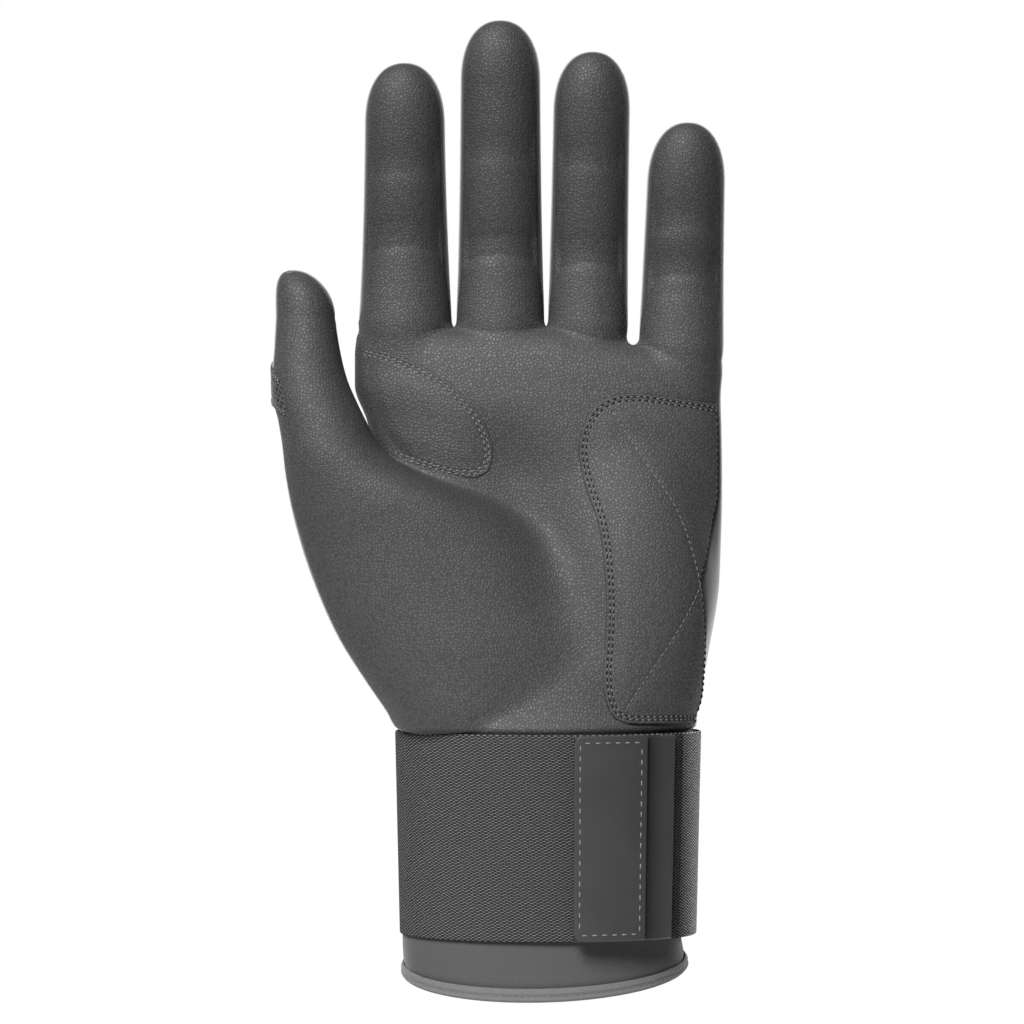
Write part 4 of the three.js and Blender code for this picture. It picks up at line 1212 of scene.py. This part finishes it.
def overlay_object(name, column, rows, left, right, height, material):
    """Overlay from its left to its right outline at each height, moved out from the palm along its normal."""
    share = ease(80)[None, :]
    x = left[:, None] * (1 - share) + right[:, None] * share
    up = np.broadcast_to(rows[:, None], x.shape)
    base = front_point(x, up)
    normals = glove_normal(base)
    points = base + normals * overlay_lift(column, base, normals, height(x, up))[..., None]
    faces = oriented(grid_faces(*x.shape), points, normals)
    return make_object(name, world(points), faces, material, inner=world(base - normals * OVERLAY_BACK))


heel_rows = HEEL_BOTTOM + (HEEL_TOP - HEEL_BOTTOM) * ease(230)
heel_left = np.interp(heel_rows, heel_left_path[:, 1], heel_left_path[:, 0])
heel_slope = np.interp(-heel_rows, (-HEEL_TOP, -HEEL_TOP_RIGHT[1]), (HEEL_LEFT[-1][0], HEEL_TOP_RIGHT[0]))
heel_right = np.minimum(np.interp(heel_rows, little_seam_up, little_seam_x) - 0.02, heel_slope)
heel_pad = overlay_object(
    "heel_pad_leather", "little", heel_rows, heel_left, heel_right, heel_height, PAD_LEATHER
)
attach(heel_pad, "palm_leather", "hand", "heel_pad")

crotch_rows = CROTCH_END[1] + (CROTCH_TOP[1] - CROTCH_END[1]) * ease(150)
crotch_left = crotch_side(crotch_rows)
crotch_right = np.interp(crotch_rows, crotch_upper_path[:, 1], crotch_upper_path[:, 0])
crotch_right = np.maximum(crotch_right, crotch_left + 0.01)
crotch_patch = overlay_object(
    "thumb_crotch_leather", "index", crotch_rows, crotch_left, crotch_right, crotch_height, PALM_LEATHER
)
attach(crotch_patch, "palm_leather", "hand", "thumb_crotch_patch")


# Stitches

STITCH_SIDES = 6
STITCH_PITCH = 1.85


def stitch_template():
    """A short round thread in its own frame: five rings of six along it, drawn to a point at both ends."""
    along = np.array([-0.5, -0.42, 0.0, 0.42, 0.5])[:, None]
    girth = np.array([0.0, 0.75, 1.0, 0.75, 0.0])[:, None]
    lift = np.array([-0.9, 0.0, 0.35, 0.0, -0.9])[:, None]
    turn = np.arange(STITCH_SIDES)[None, :] * 2 * np.pi / STITCH_SIDES
    points = np.stack(np.broadcast_arrays(along, girth * np.cos(turn), girth * np.sin(turn) + lift), axis=-1)
    return points.reshape(-1, 3), grid_faces(len(along), STITCH_SIDES, wrap_columns=True)


def stitch_row(points, normals, pitch, length, radius, start):
    """Threads along a path on a surface, one every pitch, each in the frame of path, surface and cross."""
    run = run_length(points)
    places = np.arange(start * pitch, run[-1], pitch)
    centre = along_path(places, run, points)
    tangent = unit(along_path(places + 0.3, run, points) - along_path(places - 0.3, run, points))
    side = unit(np.cross(along_path(places, run, normals), tangent))
    axes = np.stack([tangent, side, np.cross(tangent, side)], axis=1)
    local, faces = stitch_template()
    body = centre[:, None, :] + (local * np.array([length, radius, radius])) @ axes
    numbers = np.arange(len(places))[:, None, None] * len(local) + faces[None, :, :]
    return body.reshape(-1, 3), numbers.reshape(-1, 4)


def thread_object(name, rows, material, length, radius, pitch=STITCH_PITCH, start=0.5):
    """One object for several sewn rows, each given by its points and the normals there.

    start is the place of a row's first stitch as a share of the pitch.
    """
    vertices, faces, count = [], [], 0
    for points, normals in rows:
        body, quads = stitch_row(points, normals, pitch, length, radius, start)
        vertices.append(body)
        faces.append(quads + count)
        count += len(body)
    return make_object(name, world(np.concatenate(vertices)), np.concatenate(faces), material)


def shifted(path, distance):
    """A path in the palm's plane moved to its left by a distance."""
    tangent = unit(np.gradient(path, axis=0))
    return path + distance * np.stack([-tangent[:, 1], tangent[:, 0]], axis=1)


def on_overlay(path, column, height):
    """A path in the palm's plane laid on an overlay: points on its surface and the normals there."""
    x, up = path[:, 0], path[:, 1]
    base = front_point(x, up)[None, :, :]
    normals = glove_normal(base)
    lift = overlay_lift(column, base, normals, height(x, up)[None, :]) + THREAD_LIFT
    return (base + normals * lift[..., None])[0], normals[0]


def heel_stitch_path(distance):
    """The pad's outline moved inwards, cut off at the side seam."""
    path = shifted(np.concatenate([heel_bottom_path[40:], heel_left_path, heel_top_path]), -distance)
    path = spline(path[::8], 0.3)
    limit = np.interp(path[:, 1], little_seam_up, little_seam_x) - 0.6
    return path[path[:, 0] < limit]


def crotch_stitch_rows(distance):
    """Rows inside the patch's upper and lower edges, kept off the side seam and the web."""
    upper = shifted(crotch_upper_path, distance)
    upper = upper[upper[:, 0] > crotch_side(upper[:, 1]) + 0.8]
    lower = shifted(crotch_lower_path, distance)
    lower = lower[(lower[:, 0] > crotch_side(lower[:, 1]) + 0.4) & (lower[:, 0] < -20)]
    return [on_overlay(path, "index", crotch_height) for path in (upper, lower)]


def on_back(x, up, lift):
    """A path of x and height laid on the back of the hand, lifted off it, and the normals there."""
    points = march_out(x, np.zeros(len(x)), np.full(len(x), np.pi / 2), up)
    normals = glove_normal(points)
    return points + normals * lift, normals


heel_sewn = [on_overlay(heel_stitch_path(d), "little", heel_height) for d in STITCH_ROWS]
side_up = np.linspace(2.2, 88, 300)
side_line = np.stack([np.interp(side_up, little_seam_up, little_seam_x) - 0.75, side_up], axis=1)
side_sewn = [on_overlay(side_line, "little", heel_height)]
quilt_sewn = [on_overlay(line, "little", heel_height) for line in QUILT_LINES]
crotch_sewn = [row for d in STITCH_ROWS for row in crotch_stitch_rows(d)]

# Two rows along each seam of the back: the one on the raised middle panel lies higher
BACK_STITCH_ASIDE = 1.4
BACK_STITCH_LIFT = 0.12
PANEL_LIFT = 0.1
back_up = np.linspace(2, 94, 200)
cross_x = np.linspace(-22, 20.5, 120)
back_sewn = []
for aside in (-BACK_STITCH_ASIDE, BACK_STITCH_ASIDE):
    right_lift = BACK_STITCH_LIFT + PANEL_LIFT * (aside < 0)
    left_lift = BACK_STITCH_LIFT + PANEL_LIFT * (aside > 0)
    back_sewn.append(on_back(back_seam_left(back_up) + aside, back_up, left_lift))
    back_sewn.append(on_back(back_seam_right(back_up) + aside, back_up, right_lift))
    back_sewn.append(on_back(cross_x, back_cross_seam(cross_x) + aside, right_lift))

# name, rows, material, length and radius of a stitch, pitch, place of the first stitch
SEWN = (
    ("heel_pad_thread", heel_sewn, THREAD, 0.95, 0.22, STITCH_PITCH, 0.5),
    # needle holes: near-black stitches half a pitch on, as painted shade
    ("heel_pad_needle_holes", heel_sewn, DARK_STITCHES_AND_HOLE_SHADE, 0.9, 0.2, STITCH_PITCH, 1.0),
    ("side_seam_thread", side_sewn, DARK_STITCHES_AND_HOLE_SHADE, 1.15, 0.24, STITCH_PITCH, 0.5),
    ("heel_quilt_thread", quilt_sewn, THREAD, 1.3, 0.16, STITCH_PITCH, 0.5),
    ("thumb_crotch_thread", crotch_sewn, THREAD, 1.15, 0.26, STITCH_PITCH, 0.5),
    ("back_panel_thread", back_sewn, THREAD, 1.6, 0.24, 2.4, 0.5),
)
for sewn in SEWN:
    attach(thread_object(*sewn), "binding", "hand")


# Vent on the outer side of the thumb

VENT_FRONT, VENT_BACK = 230.0, 128.0
VENT_TURNS, VENT_SHARES = 60, 40
VENT_LOW, VENT_LOW_CLIMB = 85.4, 7.4
VENT_HIGH, VENT_HIGH_CLIMB = 95.4, 9.8
VENT_WALL = 0.3
VENT_THREAD_LIFT = 0.42


def vent_point(turn, share):
    """Outer side of the thumb: turn runs from the palm side to the back, and both ends climb with it."""
    t = ((VENT_FRONT - turn) / (VENT_FRONT - VENT_BACK)) ** 0.8
    low = VENT_LOW + VENT_LOW_CLIMB * t
    high = VENT_HIGH + VENT_HIGH_CLIMB * t
    up = low + (high - low) * share
    x, y = column_centre("thumb", up.ravel())
    return march_out(x.reshape(up.shape), y.reshape(up.shape), np.radians(turn), up)


vent_turn, vent_share = np.meshgrid(
    np.linspace(VENT_FRONT, VENT_BACK, VENT_TURNS), ease(VENT_SHARES), indexing="ij"
)
vent_base = vent_point(vent_turn, vent_share)
vent_normals = glove_normal(vent_base)
vent_edge = np.minimum(
    np.minimum(vent_share, 1 - vent_share) * 10.0,
    np.minimum(vent_turn - VENT_BACK, VENT_FRONT - vent_turn) * 0.22,
)
vent_lift = 0.5 * smooth_step(vent_edge / 0.8) - 0.1 - 0.2 * bell(vent_edge - 1.5, 0.5)
vent_outside = vent_base + vent_normals * vent_lift[..., None]
vent_faces = oriented(grid_faces(VENT_TURNS, VENT_SHARES), vent_outside, vent_normals)
vent_map = np.stack([(VENT_FRONT - vent_turn) * 0.23, vent_share * 10.5], axis=-1)
vent_inside = world(vent_base - VENT_WALL * vent_normals)
thumb_vent = make_object("thumb_vent_mesh", world(vent_outside), vent_faces, VENT_MESH, vent_map, vent_inside)
attach_thumb(thumb_vent, "vent_mesh", "thumb_vent")

vent_sewn = []
for row_share in (0.06, 0.13, 0.87, 0.94):
    row_turn = np.linspace(VENT_FRONT - 2, VENT_BACK + 2, 200)
    row_points = vent_point(row_turn, np.full(200, row_share))
    row_normals = glove_normal(row_points)
    vent_sewn.append((row_points + VENT_THREAD_LIFT * row_normals, row_normals))
attach_thumb(thread_object("thumb_vent_thread", vent_sewn, THREAD, 0.95, 0.2, 1.5), "vent_mesh")


# Cuff, strap and tab

CUFF_TAPER = 0.033
HOOK_WALL = 1.4
CARRIER_WALL = 1.2
TAB_WALL = 1.2
BINDING_WALL = 0.9
BINDING_HEIGHT = 2.8
BINDING_INSIDE_HEIGHT = 3.4
HEM_DROP = 0.9
HEM_ROLL = 0.03
HEM_REACH = 20.0
SLEEVE_SWAY = -0.9
SLEEVE_TOP = 57.7
FIRST_LAYER = SEAM_GAP
SECOND_LAYER = FIRST_LAYER + ELASTIC_WALL + SEAM_GAP
CARRIER_LAYER = SECOND_LAYER + HOOK_WALL + SEAM_GAP
TAB_LAYER = CARRIER_LAYER + CARRIER_WALL + SEAM_GAP
STRAP_START, STRAP_FOLD, STRAP_END = -8.0, -28.0, -42.0
FOLD_GAP = 0.56
RAMP_START, RAMP_END = -295.0, -345.0
TAB_LEFT, TAB_RIGHT, CARRIER_RIGHT, HOOK_RIGHT = 7.9, 26.8, 34.2, 25.0
HOOK_INSET = 1.5
CARRIER_INSET = 0.25
END_RINGS = 4


def cuff_point(angle, offset, z):
    """Point of the cuff's oval moved out along its normal, with the oval a little smaller towards the hem."""
    angle = np.radians(angle)
    normal = unit(np.stack([np.cos(angle) / CUFF_HALF_WIDTH, np.sin(angle) / CUFF_HALF_DEPTH], axis=-1))
    size = 1 - CUFF_TAPER * np.clip((STRAP_TOP - z) / (STRAP_TOP - STRAP_BOTTOM), 0, 1)
    x = CUFF_HALF_WIDTH * np.cos(angle) * size + offset * normal[..., 0]
    y = CUFF_HALF_DEPTH * np.sin(angle) * size + offset * normal[..., 1]
    return np.stack([x, y, np.broadcast_to(z, x.shape)], axis=-1)


def angle_at(x, offset):
    """Angle on the palm side at which the oval, moved out by offset, has the given x."""
    angles = np.linspace(-90, 0, 4001)
    return np.interp(x, cuff_point(angles, offset, np.full_like(angles, STRAP_TOP))[:, 0], angles)


def rounded_profile(low, high, wall, radius, side_points=40):
    """Closed outline of a band's section: offset and height, straight sides and rounded edges."""
    turn = np.linspace(0, np.pi / 2, 6)
    long, short = radius * np.cos(turn), radius * np.sin(turn)
    z = np.linspace(low + radius, high - radius, side_points)
    outer = np.stack([np.full_like(z, wall), z], axis=1)
    inner = np.stack([np.zeros_like(z), z[::-1]], axis=1)
    top_out = np.stack([wall - radius + long, high - radius + short], axis=1)
    top_in = np.stack([radius - short, high - radius + long], axis=1)
    low_in = np.stack([radius - long, low + radius - short], axis=1)
    low_out = np.stack([wall - radius + short, low + radius - long], axis=1)
    return np.concatenate([outer, top_out[1:], top_in[1:-1], inner, low_in[1:], low_out[1:-1]])


def band_object(name, angles, offsets, profile, wall, material, corner=None):
    """A section carried along the oval, closed at both ends by rings that shrink to the middle of the wall.

    corner, where given, draws in the section's upper and lower end at each angle, as at the tab's corners.
    """
    low, high = profile[:, 1].min(), profile[:, 1].max()
    turn = np.linspace(0, np.pi / 2, END_RINGS + 1)[1:]
    direction = np.sign(angles[-1] - angles[0])
    end_run = wall / 2 * np.sin(turn) * np.degrees(1 / CUFF_HALF_WIDTH) * direction * 0.6
    thin = np.append(np.cos(turn[:-1]), 0.0)
    angles = np.concatenate([angles[0] - end_run[::-1], angles, angles[-1] + end_run])
    offsets = np.pad(offsets, END_RINGS, mode="edge")
    width = np.concatenate([thin[::-1], np.ones(len(angles) - 2 * END_RINGS), thin])
    across = wall / 2 + (profile[None, :, 0] - wall / 2) * width[:, None]
    z = np.broadcast_to(profile[None, :, 1], across.shape)
    if corner is not None:
        share = (z - low) / (high - low)
        z = z + np.pad(corner, END_RINGS, mode="edge")[:, None] * (1 - 2 * share)
    points = cuff_point(angles[:, None], offsets[:, None] + across, z)
    run = np.broadcast_to(run_length(points[:, 0, :2])[:, None], z.shape)
    uv = np.stack([run, z + 3.0 * (profile[None, :, 0] < wall / 2)], axis=-1)
    faces = grid_faces(*z.shape, wrap_columns=True)
    return make_object(name, points * MM, faces if direction > 0 else faces[:, ::-1], material, uv=uv)


def hem_slant(points):
    """Tilt, roll and drop of the hem, which fade out upwards, and the sleeve's sway to one side above it."""
    height = points[..., 2]
    lean = np.clip(1 - height / HEM_REACH, 0, 1)
    slope = (HEM_TILT * points[..., 1] + HEM_ROLL * points[..., 0]) * lean
    shift = slope - HEM_DROP * smooth_step((9 - height) / 7)
    sway = SLEEVE_SWAY * bell(height - 8.3, 5.0)
    return np.stack([points[..., 0] + sway, points[..., 1], height + shift], axis=-1)


def cuff_ring(name, profile, material):
    """A closed section of offset and height above the hem plane carried once round the oval."""
    angles = np.linspace(0, 360, 241)[:-1]
    points = hem_slant(cuff_point(angles[:, None], profile[None, :, 0], profile[None, :, 1]))
    run = CUFF_HALF_WIDTH * np.radians(angles) * 0.85
    uv = np.stack([np.broadcast_to(run[:, None], points.shape[:2]), points[..., 2]], axis=-1)
    faces = grid_faces(len(angles), len(profile), wrap_rows=True, wrap_columns=True)
    return make_object(name, points * MM, faces, material, uv=uv)


def tube_profile(corners, radius, spacing):
    """Closed section with each corner rounded by a quadratic bend and long sides cut into short ones."""
    corners = np.asarray(corners, float)
    before = unit(np.roll(corners, 1, axis=0) - corners)
    after = unit(np.roll(corners, -1, axis=0) - corners)
    t = np.linspace(0, 1, 6)[None, :, None]
    start = (corners + before * radius)[:, None, :]
    end = (corners + after * radius)[:, None, :]
    bend = start * (1 - t) ** 2 + 2 * corners[:, None, :] * t * (1 - t) + end * t**2
    bend = bend.reshape(-1, 2)
    parts = []
    for a, b in zip(bend, np.roll(bend, -1, axis=0)):
        count = max(1, int(np.linalg.norm(b - a) / spacing))
        parts.append(a + (b - a) * (np.arange(count) / count)[:, None])
    return np.concatenate(parts)


sleeve_foot = BINDING_WALL + SEAM_GAP
SLEEVE_CORNERS = (
    (-SLEEVE_WALL, sleeve_foot), (0, sleeve_foot), (0, 2.6), (0.3, 3.6), (0.1, 6.6), (0, 11),
    (0, SLEEVE_TOP), (-SLEEVE_WALL, SLEEVE_TOP),
)
cuff_sleeve = cuff_ring("cuff_sleeve_jersey", tube_profile(SLEEVE_CORNERS, 0.5, 1.2), SLEEVE_KNIT)
attach(cuff_sleeve, "sleeve", "hand", "cuff_sleeve")

binding_in = -SLEEVE_WALL - SEAM_GAP
BINDING_CORNERS = (
    (binding_in - BINDING_WALL, 0), (SEAM_GAP + 0.5, 0), (SEAM_GAP + 1.05, 0.6), (SEAM_GAP + 0.65, 1.3),
    (SEAM_GAP + 0.95, 1.9), (SEAM_GAP + 0.45, BINDING_HEIGHT), (SEAM_GAP, BINDING_HEIGHT),
    (SEAM_GAP, BINDING_WALL), (binding_in, BINDING_WALL), (binding_in, BINDING_INSIDE_HEIGHT),
    (binding_in - BINDING_WALL, BINDING_INSIDE_HEIGHT),
)
cuff_binding = cuff_ring("cuff_binding_tape", tube_profile(BINDING_CORNERS, 0.24, 0.8), BINDING_TAPE)
attach(cuff_binding, "binding", "hand", "cuff_binding")

strap_angles = np.linspace(STRAP_START, STRAP_FOLD - 360, 420)
strap_climb = smooth_step((RAMP_START - strap_angles) / (RAMP_START - RAMP_END))
strap_offsets = FIRST_LAYER + (SECOND_LAYER - FIRST_LAYER) * strap_climb
strap_section = rounded_profile(STRAP_BOTTOM, STRAP_TOP, ELASTIC_WALL, 0.6)
end_angles = np.linspace(STRAP_FOLD - FOLD_GAP, STRAP_END, 30)
hook_ends = angle_at(np.array([HOOK_RIGHT, TAB_LEFT + HOOK_INSET]), SECOND_LAYER)
hook_section = rounded_profile(STRAP_BOTTOM + HOOK_INSET, STRAP_TOP - HOOK_INSET, HOOK_WALL, 0.3)
carrier_ends = angle_at(np.array([CARRIER_RIGHT, TAB_LEFT]), CARRIER_LAYER)
carrier_section = rounded_profile(STRAP_BOTTOM + CARRIER_INSET, STRAP_TOP - CARRIER_INSET, CARRIER_WALL, 0.5)

TAB_CORNER = 1.8
TAB_BOTTOM, TAB_TOP = STRAP_BOTTOM + 0.5, STRAP_TOP + 0.05
tab_bend = TAB_LEFT + TAB_CORNER * (1 - np.sin(np.linspace(0, np.pi / 2, 14)))[1:]
tab_x = np.concatenate([np.linspace(TAB_RIGHT, TAB_LEFT + TAB_CORNER, 46), tab_bend])
tab_inside = np.clip(TAB_CORNER - (tab_x - TAB_LEFT), 0, TAB_CORNER)
tab_rise = TAB_CORNER - np.sqrt(TAB_CORNER**2 - tab_inside**2)
tab_section = rounded_profile(TAB_BOTTOM, TAB_TOP, TAB_WALL, 0.5, 60)

# node, last word of the piece's name, slot, body, angles, layer, section, wall, material, corners
BANDS = (
    (
        "wrist_strap", "elastic", "elastic", "hand",
        strap_angles, strap_offsets, strap_section, ELASTIC_WALL, STRAP_ELASTIC, None,
    ),
    (
        "strap_outer_end", "elastic", "elastic", "strap_end",
        # its darker elastic is painted shade
        end_angles, SECOND_LAYER, strap_section, ELASTIC_WALL, SHADED_STRAP_END, None,
    ),
    (
        "hook_patch", "tape", "hook_tape", "strap_end",
        np.linspace(*hook_ends, 40), SECOND_LAYER, hook_section, HOOK_WALL, HOOK_TAPE, None,
    ),
    (
        "tab_carrier", "strip", "tab_carrier", "strap_end",
        np.linspace(*carrier_ends, 70), CARRIER_LAYER, carrier_section, CARRIER_WALL, CARRIER_RUBBER, None,
    ),
    (
        "pull_tab", "moulding", "tab", "strap_end",
        angle_at(tab_x, TAB_LAYER), TAB_LAYER, tab_section, TAB_WALL, TAB_RUBBER, tab_rise,
    ),
)
for node, word, slot, body, angles, layer, section, wall, material, corner in BANDS:
    offsets = np.broadcast_to(layer, angles.shape)
    band = band_object(f"{node}_{word}", angles, offsets, section, wall, material, corner)
    attach(band, slot, body, node)


def on_cuff(x, z, offset):
    """A path of x and z on the palm side of the cuff's layers, in hand millimetres, and the normals there."""
    angle = angle_at(x, offset)
    points = cuff_point(angle, np.full_like(x, offset), z)
    out = unit(cuff_point(angle, np.full_like(x, offset + 1.0), z) - points)
    return points - np.array([0, 0, WRIST_LINE]), out


tab_stitch_x = (TAB_RIGHT - 0.85, TAB_LEFT + 1.35)
tab_stitch_z = (TAB_BOTTOM + 1.8, TAB_TOP - 2.0)
TAB_CORNER_ORDER = ((0, 1), (1, 1), (1, 0), (0, 0), (0, 1))
tab_corners = np.array([(tab_stitch_x[i], tab_stitch_z[j]) for i, j in TAB_CORNER_ORDER])
tab_sewn = []
for first, last in zip(tab_corners[:-1], tab_corners[1:]):
    line = first + (last - first) * np.linspace(0, 1, 60)[:, None]
    tab_sewn.append(on_cuff(line[:, 0], line[:, 1], TAB_LAYER + TAB_WALL))
attach(thread_object("pull_tab_thread", tab_sewn, LIGHT_THREAD, 1.55, 0.2, 2.8), "tab", "strap_end")

HEM_STITCH_OFFSET, HEM_STITCH_HEIGHT = SEAM_GAP + 0.68, 1.3
hem_angles = np.linspace(0, 360, 721)
hem_points = hem_slant(cuff_point(hem_angles, HEM_STITCH_OFFSET, HEM_STITCH_HEIGHT))
hem_points[:, 2] -= WRIST_LINE
hem_out = unit(cuff_point(hem_angles, 5.0, 0.0) - cuff_point(hem_angles, 0.0, 0.0))
attach(thread_object("hem_thread", [(hem_points, hem_out)], THREAD, 1.2, 0.17), "binding", "hand")


# Camera, light and floor

AMBIENT = 0.04
CENTRE = (0.0, 0.0, 0.12)
FLOOR_LEVEL = -0.12
FLOOR_RADIUS = 0.34
FLOOR_SIDES = 96
FLOOR_SHADE = 0.7

scene = bpy.context.scene
camera_data = bpy.data.cameras.new("camera")
camera_data.lens = 150.6
camera_data.sensor_width = 36.0
camera = bpy.data.objects.new("camera", camera_data)
camera.location = (-0.0091, -1.18, 0.1248)
camera.rotation_euler = (np.pi / 2, 0, 0)
scene.collection.objects.link(camera)
scene.camera = camera
scene.view_settings.view_transform = "Standard"

# White for the camera; glossy rays see white only behind the glove, and other rays a faint ambient light
scene.world = bpy.data.worlds.new("studio")
scene.world.use_nodes = True
sky = scene.world.node_tree
background = sky.nodes["Background"].inputs
background["Color"].default_value = (1.0, 1.0, 1.0, 1.0)
rays = sky.nodes.new("ShaderNodeLightPath").outputs
way = add_split(sky, sky.nodes.new("ShaderNodeTexCoord").outputs["Generated"])
behind = add_math(sky, "MULTIPLY_ADD", way["Y"], 2.0, -0.3, clamp=True)
glossy = add_math(sky, "MULTIPLY", rays["Is Glossy Ray"], behind)
seen = add_math(sky, "MAXIMUM", rays["Is Camera Ray"], glossy)
seen = add_math(sky, "MAXIMUM", seen, rays["Is Transmission Ray"])
sky.links.new(add_math(sky, "MULTIPLY_ADD", seen, 1.0 - AMBIENT, AMBIENT), background["Strength"])


def soft_light(name, place, size, power, mirrored=True):
    """A square area light at a place, turned to the glove, which shiny surfaces may or may not mirror."""
    data = bpy.data.lights.new(name, "AREA")
    data.size = size
    data.energy = power
    lamp = bpy.data.objects.new(name, data)
    x, y, z = np.array(place) - np.array(CENTRE)
    lamp.location = place
    lamp.visible_glossy = mirrored
    lamp.rotation_euler = (np.arctan2(np.hypot(x, y), z), 0, np.arctan2(x, -y))
    scene.collection.objects.link(lamp)


soft_light("key", (-0.56, -1.33, 1.24), 0.8, 60.0)
soft_light("rim_left", (-0.66, 0.9, 0.25), 0.5, 16.0, False)
soft_light("rim_right", (0.66, 0.9, 0.25), 0.5, 24.0, False)

floor_mesh = bpy.data.meshes.new("floor")
floor_turn = np.linspace(0, 2 * np.pi, FLOOR_SIDES + 1)[:-1]
floor_rim = np.stack([np.cos(floor_turn), np.sin(floor_turn)], axis=1) * FLOOR_RADIUS
floor_points = np.column_stack([floor_rim, np.full(FLOOR_SIDES, FLOOR_LEVEL)])
floor_mesh.from_pydata(floor_points.tolist(), [], [list(range(FLOOR_SIDES))])
floor = bpy.data.objects.new("floor", floor_mesh)
floor_paint = bpy.data.materials.new("floor_paint")
floor_paint.use_nodes = True
floor_shader = floor_paint.node_tree.nodes["Principled BSDF"].inputs
floor_shader["Base Color"].default_value = (FLOOR_SHADE, FLOOR_SHADE, FLOOR_SHADE, 1.0)
floor_shader["Roughness"].default_value = 0.9
floor_mesh.materials.append(floor_paint)
scene.collection.objects.link(floor)
